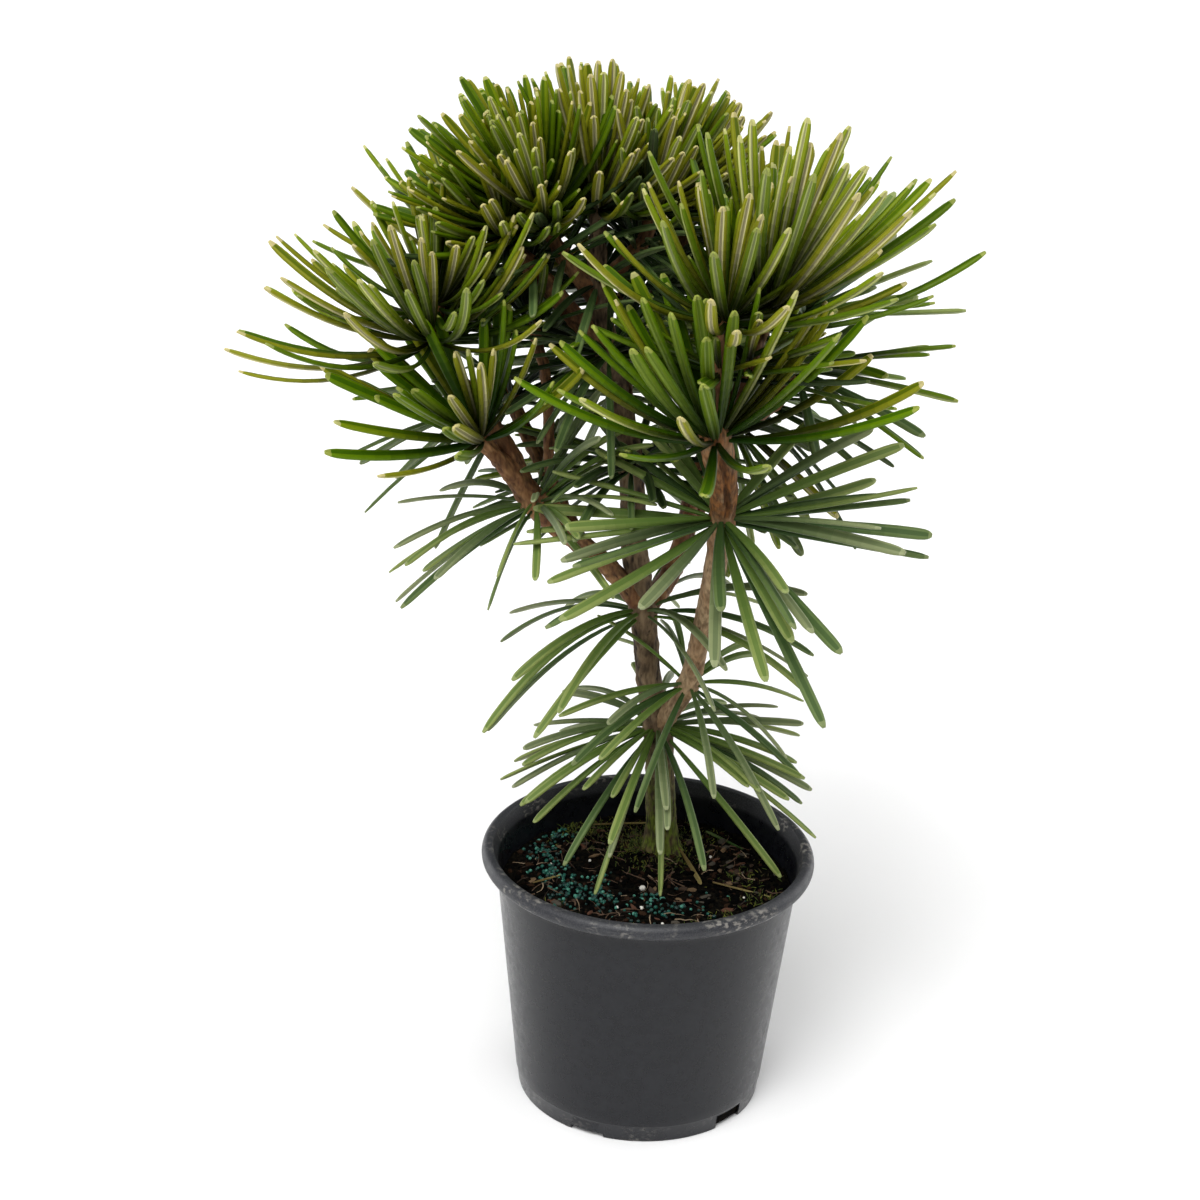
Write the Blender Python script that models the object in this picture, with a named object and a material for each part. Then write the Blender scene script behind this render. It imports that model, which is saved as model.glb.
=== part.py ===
"""Dwarf umbrella pine (Sciadopitys verticillata) in a black two-litre nursery pot.

The origin is the centre of the pot's underside. Seen from the front, which is -Y, +X is to the
right and +Z is up. Blender works in metres; the tables below are in millimetres, as a nursery would
measure them, and MM turns them into metres.

The trunk runs from its flat foot on the soil to its tip. Boughs leave it, or each other, and every
bough is one tapering limb. The needles stand in whorls: a whorl either rings a limb, fused to a
thin collar, or ends it, fused to a short bud.
"""
import math
import random

import bmesh
import bpy
from mathutils import Matrix, Vector
from mathutils.bvhtree import BVHTree

MM = 0.001

# ---------------------------------------------------------------- driving dimensions (mm)
GAP = 0.3                     # clear distance between neighbouring solids

POT_HEIGHT = 136.6
POT_BASE_RADIUS = 63.0
POT_WALL_TOP_RADIUS = 77.0    # outside of the wall, just under the rolled rim
POT_RIM_RADIUS = 85.0
POT_MOUTH_RADIUS = 78.7
POT_RIM_HEIGHT = 8.2
POT_WALL = 1.3
POT_FLOOR = 1.8
POT_FOOT_HEIGHT = 9.0         # plain band round the foot, set back by the step
POT_FOOT_STEP = 0.5
POT_SIDES = 40

DRAIN_COUNT = 5
DRAIN_FIRST_ANGLE = -41.0     # degrees from +X, so the first slot looks to the front right
DRAIN_WIDTH = 18.0
DRAIN_HEIGHT = 8.0
DRAIN_DEPTH = 6.0             # how far each slot runs in under the floor's edge
FLAP_SLOT = 4                 # number of the slot that a flap of plastic nearly closes
FLAP_SLOT_HEIGHT = 2.4        # what the flap leaves open

SOIL_TOP = 115.0

TRUNK_SIDES = 8
BOUGH_SIDES = 6
BUD_SIDES = 4
COLLAR_SIDES = 6
LIMB_RING_STEP = 18.0         # distance between the rings of a limb

NEEDLE_WIDTH = 5.2
NEEDLE_THICKNESS = 2.1
NEEDLE_ROOT_WIDTH = 1.5
NEEDLE_TIP_WIDTH = 3.4        # across the blunt end
MIDDLE_SHARE = 0.55           # where along a needle it is widest
COLLAR_WALL = 2.4             # a collar's thickness over its limb
COLLAR_HEIGHT = 9.0
BUD_LENGTH = 11.0
BUD_SPREAD = 1.2              # a bud's corners stand out past its limb by this factor
BUD_TAPER = 0.7
OUTWARD_GAIN = 0.12           # needles that face out of the crown are longer by this share
CROWN_CENTRE = (-15, 30)      # where the crown's upright axis stands, x and y
CROWN_INNER_RADIUS = 45.0     # inside it a whorl's needles are more even
NEEDLE_TRIES = 14             # places tried for a needle before it is left out
HUB_CLEAR = 4.0               # the first stretch of a needle, among its own roots
SLIVER = 0.001                # shortest edge that a fused whorl may have
SEED = 20

# ---------------------------------------------------------------- limbs (mm)
# name: (parent, [(x, y, z, radius), ...]); a bough's first knot lies inside its parent.
LIMBS = {
    "trunk": (None, [
        (7, 34, 115.3, 13.5), (6.6, 33.5, 122, 9.8), (6, 32.5, 136, 8.2), (4.5, 30.5, 160, 7.4),
        (2, 27, 190, 7.4), (-4, 24, 222, 6.4), (-8, 22, 256, 6.6), (-14, 24, 292, 6.4),
        (-16, 29, 318, 6.2), (-20, 36, 345, 5.8), (-30, 40, 382, 5.8), (-37, 38, 416, 5.2),
        (-38, 39, 440, 4.4), (-38, 40, 455, 3.6)]),
    "bough_left": ("trunk", [
        (-9, 22, 262, 5.0), (-29, 16, 286, 4.8), (-54, 8, 308, 5.2), (-64, 4.5, 321, 6.4),
        (-73, 0, 335, 5.2), (-82, -6, 347, 3.8), (-87, -10, 354, 3.6)]),
    "bough_left_upper": ("bough_left", [
        (-68, 2.5, 327, 4.4), (-77, 3, 347, 4.8), (-98, -3, 379, 4.4), (-113, -8, 400, 4.4),
        (-111, -6, 416, 3.2)]),
    "bough_left_inner": ("bough_left", [
        (-52, 9, 306, 2.8), (-57, 18, 334, 2.6), (-60, 29, 372, 2.5), (-67, 35, 396, 2.4)]),
    "bough_top_left": ("trunk", [
        (-31, 40, 388, 4.8), (-50, 35, 408, 4.8), (-67, 27, 430, 4.5), (-80, 21, 445, 3.6)]),
    "bough_top_middle": ("trunk", [
        (-37, 38, 414, 4.0), (-48, 34, 428, 4.0), (-58, 31, 443, 3.4), (-63, 29, 452, 3.2)]),
    "bough_top_right": ("trunk", [
        (-37, 38, 420, 3.8), (-26, 42, 431, 3.6), (-16, 46, 442, 3.4), (-13, 48, 452, 3.2)]),
    "bough_back_top": ("trunk", [
        (-28, 40, 376, 4.2), (-14, 62, 398, 3.8), (0, 82, 424, 3.6), (5, 90, 446, 3.2)]),
    "bough_front": ("trunk", [
        (3, 26, 193, 4.6), (16, 8, 225, 5.2), (20.5, -4, 255, 4.9), (25, -20, 293, 5.2),
        (27.5, -36, 332, 6.0), (26.5, -44, 354, 7.2), (22, -50, 376, 7.4), (21, -51, 384, 6.4)]),
    "bough_front_left_tip": ("bough_front", [
        (21, -51, 380, 4.0), (22, -54, 404, 3.6), (24, -52, 430, 3.3)]),
    "bough_front_right_tip": ("bough_front", [
        (23, -50, 379, 3.8), (34, -45, 404, 3.5), (42, -39, 433, 3.2)]),
    "bough_right": ("trunk", [
        (-8, 23, 258, 5.0), (4, 32, 273, 5.0), (10, 40, 290, 4.6), (15, 50, 318, 4.4),
        (26, 60, 340, 4.2), (44, 68, 348, 4.2), (60, 74, 362, 4.0), (66, 76, 384, 3.6),
        (65, 76, 396, 3.2)]),
    "bough_back": ("trunk", [
        (-15, 26, 298, 4.4), (-19, 56, 330, 4.2), (-24, 86, 362, 4.0), (-25, 106, 392, 3.8),
        (-22, 114, 416, 3.2)]),
    "bough_back_left": ("bough_left", [
        (-40, 13, 295, 3.8), (-62, 42, 326, 3.8), (-84, 68, 360, 3.6), (-96, 82, 390, 3.4),
        (-99, 87, 406, 3.1)]),
    "bough_back_right": ("bough_right", [
        (11, 42, 293, 3.6), (28, 72, 320, 3.8), (42, 98, 354, 3.6), (47, 112, 384, 3.4),
        (48, 116, 400, 3.1)]),
}

# ---------------------------------------------------------------- whorls
# name, limb, place along it (0 foot, 1 tip), needles, shortest and longest needle (mm),
# least and greatest angle from the limb (degrees), and the sag over a needle's length:
# below 0 the needles curve up into a cup, above 0 they hang.
TIP = 1.0
WHORLS = [
    ("whorl_front_left_tip", "bough_front_left_tip", TIP, 30, 58, 88, 14, 70, -0.10),
    ("whorl_front_right_tip", "bough_front_right_tip", TIP, 28, 60, 90, 16, 74, -0.08),
    ("whorl_front_crown", "bough_front", 0.975, 27, 62, 82, 22, 86, -0.06),
    ("whorl_front_middle", "bough_front", 0.715, 28, 80, 106, 66, 104, 0.05),
    ("whorl_front_low", "bough_front", 0.185, 15, 66, 80, 80, 110, 0.12),
    ("whorl_left_tip", "bough_left_upper", TIP, 18, 50, 68, 8, 60, -0.10),
    ("whorl_left_crown", "bough_left_upper", 0.80, 27, 66, 87, 34, 82, -0.14),
    ("whorl_left_front", "bough_left", TIP, 26, 62, 82, 14, 80, -0.06),
    ("whorl_left_low", "bough_left", 0.660, 17, 66, 82, 68, 108, 0.06),
    ("whorl_left_inner", "bough_left_inner", TIP, 16, 50, 64, 14, 70, -0.06),
    ("whorl_top_left", "bough_top_left", TIP, 27, 54, 64, 14, 76, -0.12),
    ("whorl_top_middle", "bough_top_middle", TIP, 26, 58, 72, 10, 66, -0.08),
    ("whorl_top", "trunk", TIP, 26, 56, 70, 8, 62, -0.06),
    ("whorl_top_right", "bough_top_right", TIP, 26, 56, 70, 8, 66, -0.08),
    ("whorl_back_top", "bough_back_top", TIP, 24, 56, 68, 10, 76, -0.06),
    ("whorl_right_tip", "bough_right", TIP, 21, 58, 74, 20, 84, -0.02),
    ("whorl_right_crown", "bough_right", 0.860, 19, 66, 80, 62, 106, 0.06),
    ("whorl_right_low", "bough_right", 0.600, 15, 66, 82, 70, 108, 0.08),
    ("whorl_trunk_low", "trunk", 0.235, 23, 74, 90, 82, 106, 0.15),
    ("whorl_trunk_middle", "trunk", 0.415, 16, 78, 96, 84, 112, 0.15),
    ("whorl_trunk_high", "trunk", 0.630, 14, 64, 84, 70, 108, 0.10),
    ("whorl_trunk_crown", "trunk", 0.800, 14, 62, 82, 56, 100, 0.06),
    ("whorl_back_tip", "bough_back", TIP, 23, 62, 80, 12, 78, -0.08),
    ("whorl_back_low", "bough_back", 0.60, 15, 66, 84, 66, 108, 0.08),
    ("whorl_back_left_tip", "bough_back_left", TIP, 23, 62, 80, 12, 80, -0.08),
    ("whorl_back_left_low", "bough_back_left", 0.58, 15, 66, 84, 66, 108, 0.08),
    ("whorl_back_right_tip", "bough_back_right", TIP, 24, 62, 80, 12, 80, -0.08),
    ("whorl_back_right_low", "bough_back_right", 0.58, 15, 66, 84, 66, 108, 0.08),
]

# ---------------------------------------------------------------- materials
MATERIALS = {
    "pot_plastic": ((0.045, 0.047, 0.052, 1), 0.48),
    "soil": ((0.020, 0.015, 0.011, 1), 0.95),
    "bark": ((0.180, 0.098, 0.060, 1), 0.85),
    "needles": ((0.085, 0.150, 0.030, 1), 0.42),
}


def clear_scene():
    for item in list(bpy.data.objects):
        bpy.data.objects.remove(item, do_unlink=True)


def material(name):
    made = bpy.data.materials.get(name)
    if made is None:
        colour, roughness = MATERIALS[name]
        made = bpy.data.materials.new(name)
        made.use_nodes = True
        shader = made.node_tree.nodes["Principled BSDF"]
        shader.inputs["Base Color"].default_value = colour
        shader.inputs["Roughness"].default_value = roughness
        shader.inputs["Metallic"].default_value = 0.0
    return made


def add_object(name, mesh, collection=None):
    made = bpy.data.objects.new(name, mesh)
    (collection or bpy.context.scene.collection).objects.link(made)
    return made


def mesh_from(name, points, faces):
    mesh = bpy.data.meshes.new(name)
    mesh.from_pydata(points, [], faces)
    mesh.update()
    return mesh


# ---------------------------------------------------------------- Booleans
def apply_boolean(target, operation, cutter=None, collection=None, solver="EXACT"):
    """Combine target with one object or with a whole collection, and keep the result."""
    modifier = target.modifiers.new("join", "BOOLEAN")
    modifier.operation = operation
    modifier.solver = solver
    if collection is None:
        modifier.object = cutter
    else:
        modifier.operand_type = "COLLECTION"
        modifier.collection = collection
    depsgraph = bpy.context.evaluated_depsgraph_get()
    result = bpy.data.meshes.new_from_object(target.evaluated_get(depsgraph))
    target.modifiers.clear()
    spent = target.data
    target.data = result
    bpy.data.meshes.remove(spent)


def remove_object(item):
    mesh = item.data
    bpy.data.objects.remove(item, do_unlink=True)
    bpy.data.meshes.remove(mesh)


def keep_largest_body(target):
    """Drop the loose scraps that a cut may leave beside the main body."""
    shape = bmesh.new()
    shape.from_mesh(target.data)
    left = set(shape.faces)
    bodies = []
    while left:
        stack = [left.pop()]
        body = set(stack)
        while stack:
            for edge in stack.pop().edges:
                for face in edge.link_faces:
                    if face in left:
                        left.discard(face)
                        body.add(face)
                        stack.append(face)
        bodies.append(body)
    bodies.sort(key=len)
    for body in bodies[:-1]:
        bmesh.ops.delete(shape, geom=list(body), context="FACES")
    shape.to_mesh(target.data)
    shape.free()


# ---------------------------------------------------------------- pot and soil
def revolve(name, profile, sides):
    """Turn a closed outline of (radius, height) points, in mm, round the Z axis."""
    points = []
    rings = []
    for radius, height in profile:
        if radius == 0:
            rings.append([len(points)])
            points.append((0, 0, height * MM))
            continue
        rings.append([len(points) + k for k in range(sides)])
        for k in range(sides):
            angle = 2 * math.pi * k / sides
            points.append((radius * math.cos(angle) * MM, radius * math.sin(angle) * MM, height * MM))
    faces = []
    for low, high in zip(rings, rings[1:]):
        for k in range(sides):
            nxt = (k + 1) % sides
            if len(low) == 1:
                faces.append((low[0], high[nxt], high[k]))
            elif len(high) == 1:
                faces.append((low[k], low[nxt], high[0]))
            else:
                faces.append((low[k], low[nxt], high[nxt], high[k]))
    return mesh_from(name, points, faces)


def wall_radius(height):
    """Outside radius of the pot's wall at a height, from its foot to under the rim."""
    share = height / (POT_HEIGHT - POT_RIM_HEIGHT)
    return POT_BASE_RADIUS + POT_FOOT_STEP + (POT_WALL_TOP_RADIUS - POT_BASE_RADIUS) * share


def pot_profile():
    under_rim = POT_HEIGHT - POT_RIM_HEIGHT
    roll = POT_RIM_HEIGHT / 2
    outer = [(0, 0), (POT_BASE_RADIUS, 0),
             (wall_radius(POT_FOOT_HEIGHT) - POT_FOOT_STEP, POT_FOOT_HEIGHT),
             (wall_radius(POT_FOOT_HEIGHT), POT_FOOT_HEIGHT + POT_FOOT_STEP),
             (wall_radius(under_rim), under_rim)]
    centre = POT_RIM_RADIUS - roll
    for angle in (-70, -25, 20, 65):
        turn = math.radians(angle)
        outer.append((centre + roll * math.cos(turn), under_rim + roll + roll * math.sin(turn)))
    inner_top = wall_radius(under_rim) - POT_WALL
    inner_foot = wall_radius(POT_FLOOR) - POT_WALL
    inner = [(POT_MOUTH_RADIUS + 1.6, POT_HEIGHT), (POT_MOUTH_RADIUS, POT_HEIGHT - 1.4),
             (inner_top, under_rim), (inner_foot, POT_FLOOR), (0, POT_FLOOR)]
    return outer + inner


def make_pot():
    pot = add_object("pot", revolve("pot", pot_profile(), POT_SIDES))
    for index in range(DRAIN_COUNT):
        angle = math.radians(DRAIN_FIRST_ANGLE + 360 * index / DRAIN_COUNT)
        mesh = bpy.data.meshes.new("drain")
        shape = bmesh.new()
        bmesh.ops.create_cube(shape, size=1)
        shape.to_mesh(mesh)
        shape.free()
        slot = add_object("drain", mesh)
        height = FLAP_SLOT_HEIGHT if index == FLAP_SLOT else DRAIN_HEIGHT
        size = Vector((2 * DRAIN_DEPTH, DRAIN_WIDTH, 2 * height)) * MM
        place = Vector((math.cos(angle), math.sin(angle), 0)) * (POT_BASE_RADIUS * MM)
        mesh.transform(Matrix.LocRotScale(place, Matrix.Rotation(angle, 3, "Z").to_quaternion(), size))
        apply_boolean(pot, "DIFFERENCE", cutter=slot)
        remove_object(slot)
    pot.data.materials.clear()
    pot.data.materials.append(material("pot_plastic"))
    return pot


def make_soil():
    low = POT_FLOOR + GAP
    inset = POT_WALL + 2 * GAP
    profile = [(0, low), (wall_radius(low) - inset, low), (wall_radius(SOIL_TOP) - inset, SOIL_TOP),
               (0, SOIL_TOP)]
    soil = add_object("potting_soil", revolve("potting_soil", profile, POT_SIDES))
    soil.data.materials.append(material("soil"))
    return soil


# ---------------------------------------------------------------- limbs
class Limb:
    """A smooth tapering limb through its knots, measured by its length."""

    def __init__(self, knots):
        self.samples = []
        padded = [knots[0]] + list(knots) + [knots[-1]]
        steps = 12
        for k in range(1, len(padded) - 2):
            for step in range(steps):
                self.samples.append(self.between(padded[k - 1:k + 3], step / steps))
        self.samples.append(tuple(float(value) for value in knots[-1]))
        self.lengths = [0.0]
        for here, there in zip(self.samples, self.samples[1:]):
            self.lengths.append(self.lengths[-1] + math.dist(here[:3], there[:3]))
        self.length = self.lengths[-1]

    @staticmethod
    def between(four, share):
        """Catmull-Rom blend of four knots at a share of the way from the second to the third."""
        before, start, end, after = four
        square, cube = share * share, share * share * share
        return tuple(
            0.5 * (2 * b + (c - a) * share + (2 * a - 5 * b + 4 * c - d) * square
                   + (3 * b - a - 3 * c + d) * cube)
            for a, b, c, d in zip(before, start, end, after))

    def at(self, share):
        """Point and radius at a share of the length."""
        wanted = min(max(share, 0.0), 1.0) * self.length
        index = 0
        while index < len(self.lengths) - 2 and self.lengths[index + 1] < wanted:
            index += 1
        span = self.lengths[index + 1] - self.lengths[index]
        part = (wanted - self.lengths[index]) / span
        here, there = self.samples[index], self.samples[index + 1]
        mixed = [a + (b - a) * part for a, b in zip(here, there)]
        return Vector(mixed[:3]), mixed[3]

    def heading(self, share):
        reach = 0.01
        ahead, behind = self.at(share + reach)[0], self.at(share - reach)[0]
        return (ahead - behind).normalized()

    def shares(self, start=0.0, end=1.0, step=LIMB_RING_STEP):
        count = max(2, round((end - start) * self.length / step) + 1)
        return [start + (end - start) * k / (count - 1) for k in range(count)]


def skin(rings, sides):
    """Faces of a closed tube: triangles between its rings, counted from its foot, and two caps."""
    faces = [tuple(reversed(range(sides)))]
    for base in range(0, (rings - 1) * sides, sides):
        for k in range(sides):
            nxt = (k + 1) % sides
            faces.append((base + k, base + nxt, base + sides + nxt))
            faces.append((base + k, base + sides + nxt, base + sides + k))
    faces.append(tuple((rings - 1) * sides + k for k in range(sides)))
    return faces


def tube(limb, shares, sides, swell=0.0, level_foot=False):
    """Points and faces of a closed tube that follows a limb, with its radius grown by swell."""
    points = []
    side_way = Vector((1, 0, 0))
    for index, share in enumerate(shares):
        centre, radius = limb.at(share)
        heading = limb.heading(share)
        if level_foot and index == 0:
            heading = Vector((0, 0, 1))
        side_way = (side_way - heading * side_way.dot(heading)).normalized()
        other_way = heading.cross(side_way)
        for k in range(sides):
            angle = 2 * math.pi * k / sides
            spoke = side_way * math.cos(angle) + other_way * math.sin(angle)
            points.append((centre + spoke * (radius + swell)) * MM)
    return points, skin(len(shares), sides)


def limb_mesh(name, limb, fat=False):
    """A limb's mesh, or its fat copy, whose flats too stand the gap off the limb's own."""
    is_trunk = name == "trunk"
    sides = TRUNK_SIDES if is_trunk else BOUGH_SIDES
    swell = GAP / math.cos(math.pi / sides) + 0.02 if fat else 0.0
    return mesh_from(name, *tube(limb, limb.shares(), sides, swell, level_foot=is_trunk))


def make_limbs():
    """Make the trunk and boughs, each bough cut clear of its parent, and their fat copies."""
    limbs = {name: Limb(knots) for name, (parent, knots) in LIMBS.items()}
    fat_copies = {name: add_object(name + "_fat", limb_mesh(name, limb, fat=True))
                  for name, limb in limbs.items()}
    made = {}
    for name, (parent, knots) in LIMBS.items():
        item = add_object(name, limb_mesh(name, limbs[name]))
        for other in made:
            if meet(fat_copies[other], item):
                apply_boolean(item, "DIFFERENCE", cutter=fat_copies[other])
        keep_largest_body(item)
        item.data.materials.clear()
        item.data.materials.append(material("bark"))
        made[name] = item
    return limbs, made, fat_copies


def tree_of(item):
    mesh = item.data
    return BVHTree.FromPolygons([v.co for v in mesh.vertices], [p.vertices for p in mesh.polygons])


def meet(first, second):
    return bool(tree_of(first).overlap(tree_of(second)))


# ---------------------------------------------------------------- needles
class Needle:
    """One blade: a narrow root, a wide middle and a blunt tip, on a curve that sags or rises."""

    def __init__(self, root, direction, axis, length, sag, twist):
        self.root = root
        self.direction = direction
        self.length = length
        self.bend = Vector((0, 0, -1)) * sag if sag > 0 else axis * -sag
        flat = direction.cross(axis)
        if flat.length < 0.05:
            flat = direction.orthogonal()
        self.flat = Matrix.Rotation(twist, 3, direction) @ flat.normalized()

    def point(self, share):
        return self.root + (self.direction * share + self.bend * share * share) * self.length

    def frame(self, share):
        ahead = (self.direction + self.bend * (2 * share)).normalized()
        across = (self.flat - ahead * self.flat.dot(ahead)).normalized()
        return across, ahead.cross(across)

    def blade(self, start=0.0, grow=0.0):
        """Points and faces in metres; grow thickens the blade all round, for clearance tests."""
        root_width = NEEDLE_ROOT_WIDTH + (NEEDLE_WIDTH - NEEDLE_ROOT_WIDTH) * start / MIDDLE_SHARE
        end = 1 + grow / self.length
        points = []
        for share, width in ((start, root_width), (MIDDLE_SHARE, NEEDLE_WIDTH), (end, NEEDLE_TIP_WIDTH)):
            half = width / 2 + grow
            keel = NEEDLE_THICKNESS * (0.35 + 0.65 * width / NEEDLE_WIDTH) + grow
            centre = self.point(share)
            across, down = self.frame(share)
            points += [centre + across * half + down * grow, centre - across * half + down * grow,
                       centre - down * keel]
        return [p * MM for p in points], skin(3, 3)

    def tree(self, start, grow):
        points, faces = self.blade(start, grow)
        return BVHTree.FromPolygons(points, faces)


class Whorl:
    """Where a whorl stands, and the rule that lays out its needles."""

    def __init__(self, row, limbs):
        (self.name, limb_name, self.share, self.count, self.shortest, self.longest,
         self.least, self.greatest, self.sag) = row
        self.limb = limbs[limb_name]
        self.at_tip = self.share == TIP
        self.centre, self.radius = self.limb.at(self.share)
        self.axis = self.limb.heading(self.share)
        self.outward = Vector((self.centre.x - CROWN_CENTRE[0], self.centre.y - CROWN_CENTRE[1], 0))
        self.outward /= max(self.outward.length, CROWN_INNER_RADIUS)
        self.random = random.Random(SEED + sum(ord(letter) for letter in self.name) * 7)

    def hub(self):
        """Points and faces of the bud past the limb's tip, or of the collar round the limb."""
        if not self.at_tip:
            half = COLLAR_HEIGHT / 2 / self.limb.length
            ends = [self.share - half, min(self.share + half, 0.999)]
            return tube(self.limb, ends, COLLAR_SIDES, COLLAR_WALL)
        start = self.centre + self.axis * GAP
        side_way = self.axis.orthogonal().normalized()
        other_way = self.axis.cross(side_way)
        points = []
        foot_radius = self.radius * BUD_SPREAD
        for along, radius in ((0, foot_radius), (BUD_LENGTH, foot_radius * BUD_TAPER)):
            for k in range(BUD_SIDES):
                angle = 2 * math.pi * k / BUD_SIDES
                spoke = side_way * math.cos(angle) + other_way * math.sin(angle)
                points.append((start + self.axis * along + spoke * radius) * MM)
        return points, skin(2, BUD_SIDES)

    def needle(self, index, loose):
        """Needle number index: outer, longer needles first, inner and steeper ones last."""
        draw = self.random.uniform
        golden = math.radians(137.508)
        inward = (index + 0.5) / self.count
        tilt = math.radians(self.greatest + (self.least - self.greatest) * inward ** 0.9
                            + draw(-5, 5) * loose)
        turn = golden * index + draw(-0.14, 0.14) * loose
        side_way = self.axis.orthogonal().normalized()
        spoke = side_way * math.cos(turn) + self.axis.cross(side_way) * math.sin(turn)
        direction = self.axis * math.cos(tilt) + spoke * math.sin(tilt)
        length = self.longest + (self.shortest - self.longest) * inward + draw(-5, 4)
        length *= 1 + OUTWARD_GAIN * direction.dot(self.outward)
        if self.at_tip:
            along = GAP + 2.0 + (BUD_LENGTH - 4.0) * inward
            root = self.centre + self.axis * along + spoke * (self.radius * 0.25)
        else:
            along = (inward - 0.5) * (COLLAR_HEIGHT - 3.5)
            root = self.centre + self.axis * along + spoke * (self.radius * 0.6)
        sag = self.sag + draw(-0.03, 0.03)
        return Needle(root, direction, self.axis, length, sag, draw(-0.3, 0.3))


def grow_whorls(limbs, obstacles):
    """Lay out every needle that stays clear of the limbs, the pot, the soil and its neighbours."""
    whorls = [Whorl(row, limbs) for row in WHORLS]
    for whorl in whorls:
        points, faces = whorl.hub()
        whorl.hub_tree = BVHTree.FromPolygons(points, faces)
        whorl.root_share = (HUB_CLEAR + whorl.radius) / whorl.longest
        whorl.needles = []
        whorl.outer_trees = []
        whorl.whole_trees = []
    for index in range(max(whorl.count for whorl in whorls)):
        for whorl in whorls:
            if index < whorl.count:
                place_needle(whorl, index, whorls, obstacles)
    return whorls


def place_needle(whorl, index, whorls, obstacles):
    """Try a few places for one needle, each further from the regular one, and keep the first free."""
    others = [other for other in whorls if other is not whorl]
    for attempt in range(NEEDLE_TRIES):
        needle = whorl.needle(index, loose=1 + attempt * 0.3)
        whole = needle.tree(0.0, GAP / 2)
        outer = needle.tree(whorl.root_share, GAP / 2)
        blocked = (
            any(outer.overlap(tree) for tree in obstacles)
            or any(whole.overlap(other.hub_tree) for other in others)
            or any(outer.overlap(tree) for tree in whorl.outer_trees)
            or any(whole.overlap(tree) for other in others for tree in other.whole_trees))
        if not blocked:
            whorl.needles.append(needle)
            whorl.outer_trees.append(outer)
            whorl.whole_trees.append(whole)
            return


def is_sound(target):
    """Dissolve slivers, and say whether the mesh is one closed body with none left."""
    shape = bmesh.new()
    shape.from_mesh(target.data)
    bmesh.ops.dissolve_degenerate(shape, dist=2 * SLIVER * MM, edges=shape.edges)
    shape.to_mesh(target.data)
    sound = (len(shape.faces) > 8
             and all(vertex.is_manifold for vertex in shape.verts)
             and all(edge.is_manifold for edge in shape.edges)
             and all(edge.calc_length() > SLIVER * MM for edge in shape.edges))
    shape.free()
    return sound


def fuse_whorl(whorl, fat_copies, solver):
    """Fuse a whorl's needles to its hub with one union, and cut the whole clear of every limb."""
    blades = bpy.data.collections.new(whorl.name + "_blades")
    bpy.context.scene.collection.children.link(blades)
    for needle in whorl.needles:
        add_object("blade", mesh_from("blade", *needle.blade()), blades)
    item = add_object(whorl.name, mesh_from(whorl.name, *whorl.hub()))
    apply_boolean(item, "UNION", collection=blades, solver=solver)
    for blade in list(blades.objects):
        remove_object(blade)
    bpy.data.collections.remove(blades)
    for fat in fat_copies.values():
        if meet(fat, item):
            apply_boolean(item, "DIFFERENCE", cutter=fat, solver=solver)
    keep_largest_body(item)
    return item


def make_whorl(whorl, fat_copies):
    """Fuse a whorl; where no solver gives a sound body, leave its last needle out and try again."""
    while True:
        for solver in ("EXACT", "MANIFOLD"):
            item = fuse_whorl(whorl, fat_copies, solver)
            if is_sound(item):
                item.data.materials.clear()
                item.data.materials.append(material("needles"))
                return item
            remove_object(item)
        whorl.needles.pop()


def main():
    clear_scene()
    pot = make_pot()
    soil = make_soil()
    limbs, limb_objects, fat_copies = make_limbs()
    obstacles = [tree_of(item) for item in [pot, soil] + list(limb_objects.values())]
    for whorl in grow_whorls(limbs, obstacles):
        make_whorl(whorl, fat_copies)
    for fat in fat_copies.values():
        remove_object(fat)


main()
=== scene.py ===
"""Looks of a dwarf umbrella pine in its black nursery pot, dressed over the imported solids.

Lengths are in millimetres and MM turns them into metres. The origin is the centre of the pot's
underside, -Y is the plant's front and +Z is up. Needles and bark grow by the same rule as the solids,
carried to finer meshes.
"""
import math
import random

import bmesh
import bpy
import numpy as np
from mathutils import Matrix, Vector, noise
from mathutils.bvhtree import BVHTree

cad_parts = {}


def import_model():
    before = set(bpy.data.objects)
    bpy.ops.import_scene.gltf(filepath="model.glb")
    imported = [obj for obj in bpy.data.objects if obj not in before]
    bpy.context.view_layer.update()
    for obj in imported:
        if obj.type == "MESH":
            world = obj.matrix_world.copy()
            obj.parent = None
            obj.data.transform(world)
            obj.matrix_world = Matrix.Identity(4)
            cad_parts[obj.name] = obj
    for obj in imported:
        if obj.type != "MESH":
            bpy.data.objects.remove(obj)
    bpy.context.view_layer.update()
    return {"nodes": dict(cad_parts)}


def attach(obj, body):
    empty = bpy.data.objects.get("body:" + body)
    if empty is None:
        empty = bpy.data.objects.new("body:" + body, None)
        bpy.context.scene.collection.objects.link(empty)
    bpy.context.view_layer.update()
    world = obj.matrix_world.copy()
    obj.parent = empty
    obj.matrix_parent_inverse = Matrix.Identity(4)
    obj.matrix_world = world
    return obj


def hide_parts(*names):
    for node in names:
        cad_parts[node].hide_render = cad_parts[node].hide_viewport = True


MM = 0.001
GAP = 0.3                 # clearance between the solids
GOLDEN_ANGLE = math.radians(137.508)

# ---------------------------------------- camera and light
CAMERA_PLACE = (0.0, -1267.6, 812.1)
CAMERA_LENS = 84.0
CAMERA_SENSOR = 36.0
CAMERA_PITCH = 23.08      # degrees below the horizon
CAMERA_YAW = 1.33         # degrees to the left
CAMERA_ROLL = 2.19        # degrees anticlockwise
FLOOR_SIZE = 80.0         # metres
FLOOR_COLOUR = (0.88, 0.88, 0.88)
WORLD_STRENGTH = 0.09

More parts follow.
